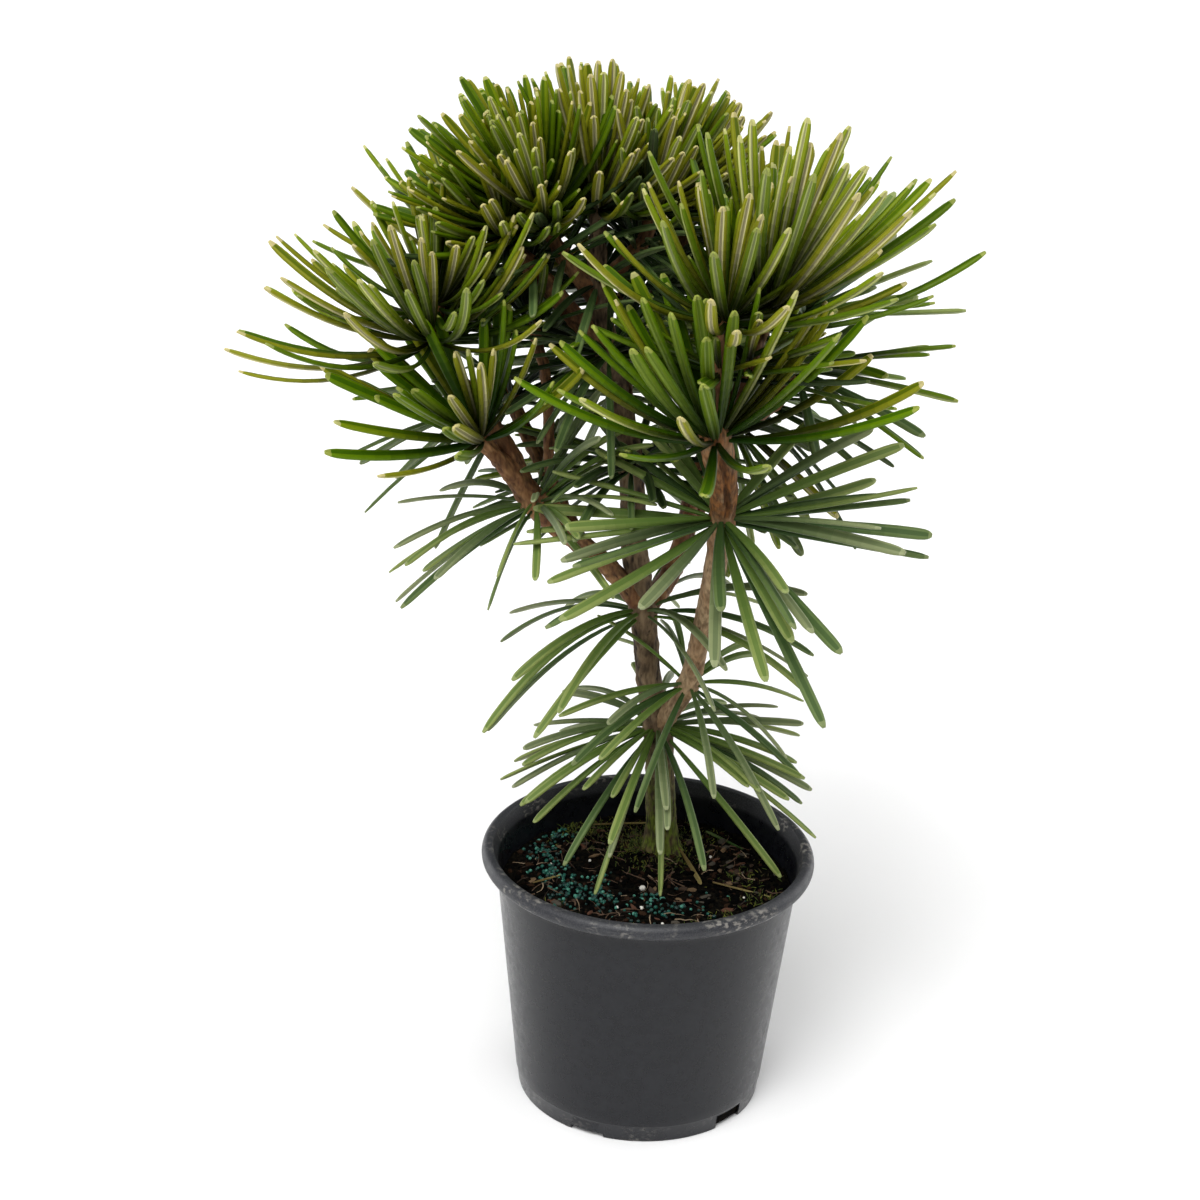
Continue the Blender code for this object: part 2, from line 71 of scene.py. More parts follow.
# name: (direction that it shines from, how wide it looks in degrees, strength)
DIFFUSE_SKIES = {
    "sky_key": ((-0.35, -0.85, 1.25), 64, 2.7),
    "sky_glint": ((-0.30, -0.80, 1.30), 20, 0.9),
    "sky_fill": ((0.60, 0.30, 1.35), 80, 0.85),
}
# name: (place in metres, width and height in metres, watts); each looks at the pot
SOFT_BOXES = {
    "softbox_left": ((-1.55, 1.05, 0.50), (1.3, 1.5), 16),
    "softbox_right": ((1.55, 1.05, 0.50), (1.3, 1.5), 16),
}
LIGHT_TARGET = (0.0, 0.0, 0.2)

# ---------------------------------------- pot and soil
POT_HEIGHT = 136.6
POT_BASE_RADIUS = 63.0
POT_WALL_TOP_RADIUS = 77.0
POT_RIM_RADIUS = 85.0
POT_MOUTH_RADIUS = 78.7
POT_RIM_HEIGHT = 8.2
POT_WALL = 1.3
POT_FLOOR = 1.8
POT_FOOT_HEIGHT = 9.0
POT_FOOT_STEP = 0.5
POT_SIDES = 200
POT_COLOUR = (0.0043, 0.0049, 0.0074)
DRAIN_COUNT = 5
DRAIN_FIRST_ANGLE = -41.0
DRAIN_WIDTH = 18.0
DRAIN_HEIGHT = 8.0
DRAIN_DEPTH = 6.0
FLAP_SLOT = 4
FLAP_SLOT_HEIGHT = 2.4
FLAP_RECESS = 0.5         # how far the flap stands back from the foot band

SOIL_TOP = 115.0
SOIL_RINGS = 80
SOIL_SIDES = 220

SPOT_MARGIN = 3.0
CRUMB_COUNT = 1500
ROOT_COUNT = 150
# Spots on the soil: x, y, spread and how many
BEAD_SPOTS = ((-51, 48, 6, 40), (-54, 26, 6, 60), (-48, 6, 6, 75), (-38, -12, 7, 85), (-24, -20, 5, 50),
              (-24, 0, 5, 26), (2, -20, 6, 34), (12, -27, 5, 22), (30, -22, 9, 14), (-10, -40, 12, 26))
CHIP_SPOTS = ((40, 26, 8, 20), (47, 22, 6, 10), (-45, -22, 4, 9), (22, -10, 4, 4), (-36, 38, 8, 9),
              (-5, -48, 12, 8), (20, -45, 12, 8), (0, 0, 40, 26))
MOSS_SPOTS = ((-6, 44, 9, 420), (8, 48, 9, 260), (12, 24, 7, 200), (-36, 56, 8, 320), (-2, 30, 8, 260),
              (30, 52, 8, 90), (-46, -40, 6, 60), (-26, -58, 7, 90), (2, -62, 7, 90), (28, -54, 7, 100),
              (48, -36, 7, 110), (58, -12, 6, 90), (50, 14, 8, 90))
# Grains of perlite: x, y and size
PERLITE_SPOTS = ((-2, -5, 1.7), (-2, -27, 1.2), (-14, -27, 0.9), (9, -40, 0.8), (-30, 20, 0.8),
                 (33, 30, 1.0), (-50, 14, 0.8), (50, -10, 0.7))
# Needles shed on the soil: x and y of both ends
SHED_GIRTH = 0.45
SHED_LIFT = 1.6
SHED_NEEDLES = ((15, 32, 29, 2), (34, 2, 63, -7), (-20, -46, -44, -34), (22, -46, 44, -40),
                (-58, -8, -44, 2), (-30, 60, 6, 66), (50, 40, 30, 58))

# Materials of what lies on the soil: name, colour, roughness and specular. The odds of a kind list how
# often it takes each of its materials.
PEAT = (("peat_black", (0.001, 0.001, 0.001), 0.9, 0.03),
        ("peat_dark", (0.005, 0.003, 0.002), 0.9, 0.03),
        ("peat_brown", (0.022, 0.011, 0.006), 0.9, 0.05))
WOOD = (("chip_red", (0.070, 0.027, 0.013), 0.8, 0.3),
        ("chip_tan", (0.120, 0.074, 0.036), 0.8, 0.3),
        ("chip_brown", (0.036, 0.020, 0.011), 0.85, 0.3),
        ("chip_grey", (0.050, 0.042, 0.031), 0.85, 0.3))
BEADS = (("bead_teal", (0.003, 0.066, 0.046), 0.35, 0.4),
         ("bead_dark", (0.002, 0.022, 0.018), 0.35, 0.4),
         ("bead_pale", (0.045, 0.195, 0.140), 0.35, 0.4))
PERLITE = (("perlite", (0.66, 0.64, 0.58), 0.8, 0.3),)
MOSS = (("moss_green", (0.046, 0.070, 0.008), 0.8, 0.3),
        ("moss_yellow", (0.115, 0.125, 0.015), 0.8, 0.3),
        ("moss_brown", (0.048, 0.036, 0.012), 0.8, 0.3))
ROOTS = (("root_brown", (0.085, 0.050, 0.030), 0.8, 0.3),
         ("root_tan", (0.260, 0.190, 0.120), 0.8, 0.3),
         ("root_dark", (0.030, 0.018, 0.012), 0.85, 0.3))
LUMP_ODDS = (0, 0, 0, 1, 1, 2)
STRAND_ODDS = (0, 0, 1, 2)

# ---------------------------------------- limbs
# name: knots as (x, y, z, radius), the same limbs as the solids
LIMBS = {
    "trunk": [
        (7, 34, 115.3, 13.5), (6.6, 33.5, 122, 9.8), (6, 32.5, 136, 8.2), (4.5, 30.5, 160, 7.4),
        (2, 27, 190, 7.4), (-4, 24, 222, 6.4), (-8, 22, 256, 6.6), (-14, 24, 292, 6.4),
        (-16, 29, 318, 6.2), (-20, 36, 345, 5.8), (-30, 40, 382, 5.8), (-37, 38, 416, 5.2),
        (-38, 39, 440, 4.4), (-38, 40, 455, 3.6)],
    "bough_left": [
        (-9, 22, 262, 5.0), (-29, 16, 286, 4.8), (-54, 8, 308, 5.2), (-64, 4.5, 321, 6.4),
        (-73, 0, 335, 5.2), (-82, -6, 347, 3.8), (-87, -10, 354, 3.6)],
    "bough_left_upper": [
        (-68, 2.5, 327, 4.4), (-77, 3, 347, 4.8), (-98, -3, 379, 4.4), (-113, -8, 400, 4.4),
        (-111, -6, 416, 3.2)],
    "bough_left_inner": [
        (-52, 9, 306, 2.8), (-57, 18, 334, 2.6), (-60, 29, 372, 2.5), (-67, 35, 396, 2.4)],
    "bough_top_left": [
        (-31, 40, 388, 4.8), (-50, 35, 408, 4.8), (-67, 27, 430, 4.5), (-80, 21, 445, 3.6)],
    "bough_top_middle": [
        (-37, 38, 414, 4.0), (-48, 34, 428, 4.0), (-58, 31, 443, 3.4), (-63, 29, 452, 3.2)],
    "bough_top_right": [
        (-37, 38, 420, 3.8), (-26, 42, 431, 3.6), (-16, 46, 442, 3.4), (-13, 48, 452, 3.2)],
    "bough_back_top": [
        (-28, 40, 376, 4.2), (-14, 62, 398, 3.8), (0, 82, 424, 3.6), (5, 90, 446, 3.2)],
    "bough_front": [
        (3, 26, 193, 4.6), (16, 8, 225, 5.2), (20.5, -4, 255, 4.9), (25, -20, 293, 5.2),
        (27.5, -36, 332, 6.0), (26.5, -44, 354, 7.2), (22, -50, 376, 7.4), (21, -51, 384, 6.4)],
    "bough_front_left_tip": [
        (21, -51, 380, 4.0), (22, -54, 404, 3.6), (24, -52, 430, 3.3)],
    "bough_front_right_tip": [
        (23, -50, 379, 3.8), (34, -45, 404, 3.5), (42, -39, 433, 3.2)],
    "bough_right": [
        (-8, 23, 258, 5.0), (4, 32, 273, 5.0), (10, 40, 290, 4.6), (15, 50, 318, 4.4),
        (26, 60, 340, 4.2), (44, 68, 348, 4.2), (60, 74, 362, 4.0), (66, 76, 384, 3.6),
        (65, 76, 396, 3.2)],
    "bough_back": [
        (-15, 26, 298, 4.4), (-19, 56, 330, 4.2), (-24, 86, 362, 4.0), (-25, 106, 392, 3.8),
        (-22, 114, 416, 3.2)],
    "bough_back_left": [
        (-40, 13, 295, 3.8), (-62, 42, 326, 3.8), (-84, 68, 360, 3.6), (-96, 82, 390, 3.4),
        (-99, 87, 406, 3.1)],
    "bough_back_right": [
        (11, 42, 293, 3.6), (28, 72, 320, 3.8), (42, 98, 354, 3.6), (47, 112, 384, 3.4),
        (48, 116, 400, 3.1)],
}
LIMB_STEPS = 12           # samples between two knots
BARK_STEP = 0.85          # distance between a bark mesh's rings
BARK_SIDES = 44
BASE_SWELL = 0.35         # how much a bough thickens where it leaves its parent
BASE_SWELL_LENGTH = 7.0
NODE_SWELL = 0.9          # ring of old needle bases at a whorl
NODE_SWELL_LENGTH = 3.6
TIP_BUD_LENGTH = 9.0      # how far a limb's bark runs on past its tip, as the whorl's bud

# Kinds of bark: depth in mm of its lumps, fibres, cracks and leaf scars, then its dark, middle and pale
# colours, the dark one also painted shade in sunken bark and the pale one also a painted highlight on raised
# bark, its roughness, and a stain's colour with the heights in mm where it starts and where it is full
BARKS = {
    "old": ((0.60, 0.55, 0.45, 0.05), (0.020, 0.011, 0.006), (0.115, 0.072, 0.038),
            (0.230, 0.160, 0.090), 0.85, ((0.150, 0.205, 0.018), 196, 140)),
    "smooth": ((0.30, 0.45, 0.30, 0.20), (0.056, 0.026, 0.010), (0.262, 0.152, 0.072),
               (0.395, 0.275, 0.152), 0.75, ((0.260, 0.100, 0.026), 308, 326)),
    "young": ((0.40, 0.40, 0.30, 0.60), (0.018, 0.006, 0.003), (0.150, 0.058, 0.020),
              (0.290, 0.150, 0.060), 0.72),
}
# The other limbs have young bark
BARK_KINDS = {"trunk": "old", "bough_front": "smooth"}
SPLIT_LIMB = "bough_front"
SPLIT_SHARES = (0.76, 0.95)
SPLIT_DEPTH = 2.8
SPLIT_WIDTH = 0.18        # radians

# ---------------------------------------- whorls
TIP = 1.0
# Kinds of whorl: how far its needles curl up to the axis and arch over by their weight, both as shares
# of their length, how stout they are, their greatest twist in radians, the darker tints dealt to its lowest
# needles as painted shade under the needles above them, the tints dealt to the others, and how finely
# they are drawn
YOUNG = (0.30, 0.00, 1.05, 0.35, ("leaf", "leaf", "olive"), ("fresh", "olive", "fresh", "olive", "leaf"),
         "near")
SLIM = (0.30, 0.00, 0.95, 0.35, *YOUNG[4:])
STUBBY = (0.28, 0.00, 0.98, 0.35, ("leaf", "shade", "olive"), ("olive", "fresh", "olive", "leaf"), "short")
VIVID = (0.22, 0.00, 1.15, 0.30, ("leaf", "lush", "olive"), ("lush", "fresh", "lush", "olive", "lush"),
         "near")
MIDDLE = (0.06, 0.10, 1.10, 0.70, ("dusk", "moss"), ("moss", "moss", "moss", "grey", "dusk"), "near")
LOW = (0.00, 0.15, 0.83, 0.90, ("dusk", "moss"), ("moss", "grey", "grey", "moss"), "near")
OLD = (0.00, 0.24, 0.80, 0.90, ("dusk", "moss"), ("moss", "grey", "grey", "moss"), "near")
SIDE = (0.06, 0.10, 1.14, 0.60, ("dusk", "leaf"), ("leaf", "moss", "olive", "dusk", "leaf"), "near")
# Needles deep inside and at the back of the crown: their dark tints are painted shade
FAR = (0.00, 0.14, 0.86, 0.60, ("shade", "dusk", "dusk"), ("shade", "dusk", "dusk", "leaf"), "far")
LAST = (0.10, 0.04, 0.92, 0.45, ("leaf", "shade"), ("leaf", "leaf", "olive"), "near")
# Share of a whorl's needles, its lowest, that take the darker tints as painted shade
SHADED_LOW_SHARE = 0.30
# name, limb, place along it, needles, shortest and longest, least and greatest angle, sag over the
# length, and kind
WHORLS = [
    ("whorl_front_left_tip", "bough_front_left_tip", TIP, 60, 50, 84, 10, 86, -0.10, YOUNG),
    ("whorl_front_right_tip", "bough_front_right_tip", TIP, 60, 58, 97, 8, 62, -0.12, YOUNG),
    ("whorl_front_crown", "bough_front", 0.975, 50, 74, 88, 10, 84, -0.08, VIVID),
    ("whorl_front_middle", "bough_front", 0.735, 42, 74, 103, 77, 102, 0.00, MIDDLE),
    ("whorl_front_low", "bough_front", 0.185, 16, 62, 80, 84, 116, 0.12, OLD),
    ("whorl_left_tip", "bough_left_upper", TIP, 46, 42, 62, 8, 98, -0.12, SLIM),
    ("whorl_left_crown", "bough_left_upper", 0.90, 58, 54, 92, 40, 92, -0.16, SLIM),
    ("whorl_left_front", "bough_left", TIP, 36, 56, 73, 18, 66, -0.10, VIVID),
    ("whorl_left_low", "bough_left", 0.650, 34, 60, 78, 62, 104, 0.06, OLD),
    ("whorl_left_inner", "bough_left_inner", TIP, 24, 48, 64, 12, 84, -0.06, FAR),
    ("whorl_top_left", "bough_top_left", TIP, 66, 44, 54, 26, 86, -0.10, STUBBY),
    ("whorl_top_middle", "bough_top_middle", TIP, 106, 56, 67, 6, 77, -0.10, STUBBY),
    ("whorl_top", "trunk", TIP, 104, 56, 67, 6, 86, -0.08, STUBBY),
    ("whorl_top_right", "bough_top_right", TIP, 100, 52, 68, 6, 88, -0.08, STUBBY),
    ("whorl_back_top", "bough_back_top", TIP, 54, 44, 57, 10, 92, -0.06, YOUNG),
    ("whorl_right_tip", "bough_right", TIP, 44, 56, 74, 18, 96, -0.04, MIDDLE),
    ("whorl_right_crown", "bough_right", 0.860, 28, 64, 82, 60, 104, 0.04, SIDE),
    ("whorl_right_low", "bough_right", 0.600, 20, 64, 84, 72, 108, 0.06, SIDE),
    ("whorl_trunk_low", "trunk", 0.222, 46, 62, 86, 90, 120, 0.10, LOW),
    ("whorl_trunk_middle", "trunk", 0.415, 18, 76, 96, 84, 110, 0.22, OLD),
    ("whorl_trunk_high", "trunk", 0.630, 52, 62, 86, 62, 110, 0.08, FAR),
    ("whorl_trunk_crown", "trunk", 0.800, 60, 60, 84, 48, 106, 0.06, FAR),
    ("whorl_back_tip", "bough_back", TIP, 40, 60, 80, 12, 92, -0.08, YOUNG),
    ("whorl_back_low", "bough_back", 0.60, 28, 64, 84, 64, 110, 0.08, FAR),
    ("whorl_back_left_tip", "bough_back_left", TIP, 44, 60, 78, 12, 92, -0.08, YOUNG),
    ("whorl_back_left_low", "bough_back_left", 0.58, 28, 64, 84, 64, 110, 0.08, FAR),
    ("whorl_back_right_tip", "bough_back_right", TIP, 38, 60, 80, 12, 92, -0.08, YOUNG),
    ("whorl_back_right_low", "bough_back_right", 0.58, 28, 64, 84, 64, 110, 0.08, FAR),
]
# Last year's needles under the top shoots, which the solids leave out, in the same terms
UNDER_WHORLS = [
    ("under_top_left", "bough_top_left", 0.80, 10, 40, 54, 66, 92, 0.00, FAR),
    ("under_top_middle", "bough_top_middle", 0.62, 10, 44, 58, 62, 98, 0.02, FAR),
    ("under_top_right", "bough_top_right", 0.62, 18, 44, 60, 62, 104, 0.02, FAR),
    ("under_top_trunk", "trunk", 0.905, 20, 48, 66, 62, 104, 0.04, FAR),
    ("under_back_top", "bough_back_top", 0.70, 28, 46, 62, 62, 112, 0.02, FAR),
    ("under_back_tip", "bough_back", 0.84, 24, 50, 66, 62, 110, 0.04, FAR),
    ("under_front_crown", "bough_front_left_tip", 0.60, 16, 48, 66, 58, 84, 0.00, LAST),
    ("under_front_right", "bough_front_right_tip", 0.60, 16, 48, 66, 58, 86, 0.00, LAST),
]
# How far a whorl's axis leans off its limb along x and y, as shares of its length
LEANS = {
    "whorl_trunk_low": (0.12, -0.04),
    "whorl_front_low": (0.10, 0.00),
    "whorl_left_front": (0.16, 0.10),
    "whorl_front_middle": (-0.08, 0.10),
    "whorl_left_tip": (-0.20, 0.00),
    "whorl_left_crown": (-0.42, 0.00),
    "whorl_top_left": (0.34, 0.10),
    "whorl_top_middle": (0.10, -0.06),
}
# How far some whorls are turned about their axis, in degrees
TURNS = {
    "whorl_front_low": 90,
    "whorl_front_middle": 162,
    "whorl_left_crown": 180,
    "whorl_trunk_low": 315,
    "whorl_trunk_middle": 180,
}
GROUPS = ("front", "left", "top", "right", "trunk", "back")

NEEDLE_WIDTH = 5.2
NEEDLE_THICKNESS = 2.1
NEEDLE_ROOT_WIDTH = 1.5
NEEDLE_TIP_WIDTH = 3.4
MIDDLE_SHARE = 0.55       # how far along a coarse blade is widest
COLLAR_HEIGHT = 9.0
BUD_LENGTH = 11.0
OUTWARD_GAIN = 0.12       # how much longer the needles that point out of the crown are
CROWN_CENTRE = (-15, 30)
CROWN_INNER_RADIUS = 45.0
NEEDLE_TRIES = 10
TRY_LOOSENING = 0.3       # how much further from its regular place each try may lie
NEIGHBOUR_GAP = 20.0      # whorls whose needles stay further apart than this can't touch
TILT_JITTER = 8           # degrees
TURN_JITTER = 0.2         # radians
LENGTH_JITTER = (-12, 6)
SAG_JITTER = 0.03
CURL_RANGE = (0.6, 1.4)   # how much of its kind's curl and arch a needle may have
ARCH_RANGE = (0.3, 1.6)
HUB_CLEAR = 4.0           # how far off its limb a needle's clearance starts to count
CORE_SHARE = 0.25         # share of a needle's girth that stays clear of other needles
CLUMPS = 4                # needles gather in as many bunches round a whorl
CLUMPING = 0.14           # radians
SEED = 20

# A fine needle: its width and thickness along it, its section, and the stations of its rings
WIDTH_SHARES = (0.0, 0.06, 0.16, 0.34, 0.58, 0.80, 0.91, 0.96, 0.985, 1.0)
WIDTHS = (1.8, 2.2, 3.2, 4.5, 5.2, 5.4, 5.1, 4.5, 3.3, 1.6)
THICKNESS_SHARES = (0.0, 0.2, 0.7, 0.94, 1.0)
THICKNESSES = (1.6, 2.3, 2.6, 2.4, 1.3)
STATIONS = {
    "near": (0.0, 0.04, 0.09, 0.15, 0.22, 0.30, 0.38, 0.46, 0.54, 0.62, 0.70, 0.78, 0.85, 0.91, 0.95,
             0.975, 0.99, 1.0),
    "short": (0.0, 0.09, 0.22, 0.38, 0.46, 0.54, 0.62, 0.70, 0.78, 0.85, 0.91, 0.95, 0.985, 1.0),
    "far": (0.0, 0.09, 0.22, 0.38, 0.54, 0.70, 0.85, 0.95, 0.985, 1.0),
}
GIRTH_RANGE = (0.9, 1.08)
GREATEST_SWAY = 0.08      # sideways bend, as a share of the length
GREATEST_ROLL = 0.35      # radians at the tip
# Across half widths, and down half thicknesses: two outer lobes with a groove, and a dished upper face
SECTION = ((-1.0, 0.05), (-0.88, 0.70), (-0.38, 1.0), (-0.20, 0.52), (0.0, 0.36), (0.20, 0.52),
           (0.38, 1.0), (0.88, 0.70), (1.0, 0.05), (0.78, -0.66), (0.40, -0.84), (0.0, -0.52),
           (-0.40, -0.84), (-0.78, -0.66))
LOBE, GROOVE, UPPER, VALLEY, RIDGE = range(5)
SECTION_PARTS = (UPPER, LOBE, RIDGE, GROOVE, GROOVE, RIDGE, LOBE, UPPER, UPPER, UPPER, VALLEY, VALLEY, UPPER,
                 UPPER)
# Those parts in their order: name, the place of its colour in a tint, how much of that colour shows over
# the root's painted shade at least and how much more in full painted light, roughness and specular
PARTS = (("lobe", 1, 0.08, 0.92, 0.38, 0.20),
         ("groove", 4, 0.18, 1.10, 0.60, 0.28),
         ("upper", 2, 0.05, 0.95, 0.40, 0.13),
         ("valley", 5, 0.20, 0.80, 0.50, 0.10),
         ("ridge", 6, 0.10, 1.00, 0.42, 0.28))
ZONE_ENDS = (0.09, 0.15, 0.22, 0.30, 0.38, 0.46, 0.54, 0.62, 0.70, 0.78, 0.85, 0.975, 1.0)
# How bright a needle is painted in each zone, from the painted shade at its root to its bright colour;
# the last zone is its tip
ZONE_PAINTED_LIGHT = (0.0, 0.0, 0.02, 0.05, 0.10, 0.18, 0.29, 0.44, 0.62, 0.80, 0.94, 1.0, 1.0)
# Tips and the ridges beside the groove are pale partly by their own colour and partly by a painted highlight
TIP_SHARE = 0.7                  # how much of the tip's colour the last zone takes
ZONE_SHIFTS = (0.72, 1.35)       # powers that shift a needle's zones to its root or its tip

# Needle tints: deep green at the root, which is painted shade, the lobes, the upper face's edges, the tip,
# which is pale partly by its own colour and partly by a painted highlight, the groove between the lobes,
# the upper face's dark middle, and the ridges beside the groove, pale partly by their own colour and
# partly by a painted highlight
TINTS = {
    "fresh": ((0.001, 0.007, 0.000), (0.238, 0.292, 0.010), (0.170, 0.236, 0.004), (0.60, 0.57, 0.24),
              (0.30, 0.30, 0.14), (0.078, 0.144, 0.002), (0.66, 0.67, 0.27)),
    "olive": ((0.001, 0.006, 0.000), (0.276, 0.276, 0.014), (0.202, 0.214, 0.008), (0.63, 0.54, 0.26),
              (0.32, 0.29, 0.16), (0.088, 0.122, 0.003), (0.70, 0.65, 0.32)),
    "leaf": ((0.002, 0.010, 0.000), (0.122, 0.180, 0.004), (0.092, 0.158, 0.002), (0.33, 0.36, 0.09),
             (0.20, 0.23, 0.09), (0.045, 0.096, 0.001), (0.38, 0.44, 0.13)),
    "lush": ((0.003, 0.020, 0.000), (0.125, 0.195, 0.003), (0.100, 0.184, 0.001), (0.35, 0.38, 0.08),
             (0.115, 0.185, 0.008), (0.046, 0.112, 0.001), (0.20, 0.28, 0.03)),
    "moss": ((0.072, 0.133, 0.020), (0.229, 0.278, 0.087), (0.207, 0.256, 0.072), (0.29, 0.34, 0.13),
             (0.29, 0.34, 0.17), (0.122, 0.181, 0.044), (0.39, 0.44, 0.20)),
    "dusk": ((0.026, 0.060, 0.013), (0.121, 0.164, 0.060), (0.108, 0.157, 0.050), (0.22, 0.26, 0.11),
             (0.19, 0.24, 0.14), (0.058, 0.099, 0.030), (0.24, 0.29, 0.14)),
    "grey": ((0.055, 0.094, 0.026), (0.234, 0.262, 0.136), (0.202, 0.234, 0.109), (0.32, 0.35, 0.19),
             (0.32, 0.35, 0.24), (0.131, 0.166, 0.074), (0.40, 0.44, 0.27)),
    # Dark green of needles that stand in shade: painted shade
    "shade": ((0.003, 0.010, 0.003), (0.046, 0.070, 0.023), (0.038, 0.062, 0.017), (0.10, 0.13, 0.04),
              (0.07, 0.09, 0.04), (0.018, 0.034, 0.009), (0.08, 0.11, 0.04)),
    "straw": ((0.120, 0.085, 0.030), (0.240, 0.200, 0.070), (0.210, 0.170, 0.060), (0.26, 0.20, 0.09),
              (0.26, 0.21, 0.10), (0.160, 0.130, 0.045), (0.32, 0.27, 0.13)),
}


# ---------------------------------------- meshes and materials
def add_object(name, data):
    made = bpy.data.objects.new(name, data)
    bpy.context.scene.collection.objects.link(made)
    return made


def polar(radius, angle):
    return radius * math.cos(angle), radius * math.sin(angle)


def array_mesh(name, points, triangles, slots=None, smooth=True):
    """A mesh object from arrays: points in metres, triangles, and a material index for each."""
    mesh = bpy.data.meshes.new(name)
    points = np.asarray(points, np.float32)
    triangles = np.asarray(triangles, np.int32)
    mesh.vertices.add(len(points))
    mesh.vertices.foreach_set("co", points.ravel())
    mesh.loops.add(triangles.size)
    mesh.loops.foreach_set("vertex_index", triangles.ravel())
    mesh.polygons.add(len(triangles))
    mesh.polygons.foreach_set("loop_start", np.arange(0, triangles.size, 3, dtype=np.int32))
    if slots is not None:
        mesh.polygons.foreach_set("material_index", np.asarray(slots, np.int32))
    mesh.polygons.foreach_set("use_smooth", np.full(len(triangles), smooth, bool))
    mesh.update(calc_edges=True)
    return add_object(name, mesh)


def dress(piece, materials, slot, *nodes):
    """Give a piece its materials, let it ride, and hide the solids it stands for; slot is not used."""
    for made in materials:
        piece.data.materials.append(made)
    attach(piece, "root")
    if nodes:
        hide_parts(*nodes)


def join(name, parts, materials, slot, *nodes, smooth=True):
    """One dressed piece of several parts: points in mm, triangles, and their material index or indices."""
    points, triangles, slots, start = [], [], [], 0
    for part_points, part_triangles, index in parts:
        points.append(part_points)
        triangles.append(part_triangles + start)
        slots.append(np.zeros(len(part_triangles), int) + index)
        start += len(part_points)
    used, packed = np.unique(np.concatenate(slots), return_inverse=True)
    piece = array_mesh(name, np.vstack(points) * MM, np.vstack(triangles), packed, smooth)
    dress(piece, [materials[k] for k in used], slot, *nodes)


def plain_material(name, colour, roughness, specular):
    made = bpy.data.materials.new(name)
    made.use_nodes = True
    shader = made.node_tree.nodes["Principled BSDF"]
    shader.inputs["Base Color"].default_value = (*colour, 1)
    shader.inputs["Roughness"].default_value = roughness
    shader.inputs["Specular IOR Level"].default_value = specular
    return made


class Wiring:
    """Short-hand for the procedural nodes of one material."""

    def __init__(self, material):
        self.tree = material.node_tree
        self.shader = self.tree.nodes["Principled BSDF"]
        self.place = self.node("ShaderNodeTexCoord").outputs["Object"]

    def node(self, kind, feeds=None, **settings):
        """A node with its settings, and with sockets or values fed to its inputs."""
        made = self.tree.nodes.new(kind)
        for name, value in settings.items():
            setattr(made, name, value)
        for name, value in (feeds or {}).items():
            self.feed(made.inputs[name], value)
        return made

    def feed(self, socket, value):
        if isinstance(value, bpy.types.NodeSocket):
            self.tree.links.new(value, socket)
        else:
            socket.default_value = value

    def noise(self, size, detail=3.0, stretch=(1, 1, 1), distortion=0.0):
        """Noise whose features are about size mm across, stretched along the axes."""
        scale = [1 / (size * MM * part) for part in stretch]
        scaled = self.node("ShaderNodeMapping", {"Vector": self.place, "Scale": scale})
        made = self.node("ShaderNodeTexNoise", {"Vector": scaled.outputs["Vector"], "Scale": 1.0,
                                                "Detail": detail, "Distortion": distortion})
        return made.outputs["Fac"]

    def attribute(self, name):
        return self.node("ShaderNodeAttribute", attribute_name=name).outputs["Fac"]

    def height(self):
        """Height in millimetres."""
        parts = self.node("ShaderNodeSeparateXYZ", {"Vector": self.place})
        return self.times(parts.outputs["Z"], 1 / MM)

    def calc(self, operation, first, second):
        return self.node("ShaderNodeMath", {0: first, 1: second}, operation=operation).outputs[0]

    def times(self, first, second):
        return self.calc("MULTIPLY", first, second)

    def between(self, value, low, high):
        """0 at low and 1 at high, clamped."""
        feeds = {"Value": value, "From Min": low, "From Max": high}
        return self.node("ShaderNodeMapRange", feeds, clamp=True).outputs["Result"]

    def mix(self, factor, *colours):
        """The first colour where the factor is 0, and the second where it is 1."""
        first, second = ((*colour, 1) if isinstance(colour, tuple) else colour for colour in colours)
        return self.node("ShaderNodeMix", {0: factor, 6: first, 7: second}, data_type="RGBA").outputs[2]

    def coat(self, colour, tone, where, share):
        """A colour with a tone laid over it where it is wanted, by a share at most."""
        return self.mix(self.times(where, share), colour, tone)

    def bump(self, height, depth, strength):
        made = self.node("ShaderNodeBump", {"Strength": strength, "Distance": depth * MM, "Height": height})
        self.feed(self.shader.inputs["Normal"], made.outputs["Normal"])

    def finish(self, colour, roughness=None):
        self.feed(self.shader.inputs["Base Color"], colour)
        if roughness is not None:
            self.feed(self.shader.inputs["Roughness"], roughness)


# ---------------------------------------- camera and stage
def make_camera():
    turns = ((CAMERA_YAW, "Z"), (90 - CAMERA_PITCH, "X"), (CAMERA_ROLL, "Z"))
    yaw, pitch, roll = (Matrix.Rotation(math.radians(angle), 4, axis) for angle, axis in turns)
    data = bpy.data.cameras.new("camera")
    data.lens = CAMERA_LENS
    data.sensor_width = CAMERA_SENSOR
    camera = add_object("camera", data)
    camera.matrix_world = Matrix.Translation(Vector(CAMERA_PLACE) * MM) @ yaw @ pitch @ roll
    bpy.context.scene.camera = camera


def add_light(name, kind, power, facing, place=(0, 0, 0)):
    """A light whose back faces that way. Gives its settings."""
    data = bpy.data.lights.new(name, kind)
    data.energy = power
    made = add_object(name, data)
    made.location = place
    made.rotation_euler = facing.to_track_quat("Z", "Y").to_euler()
    return data


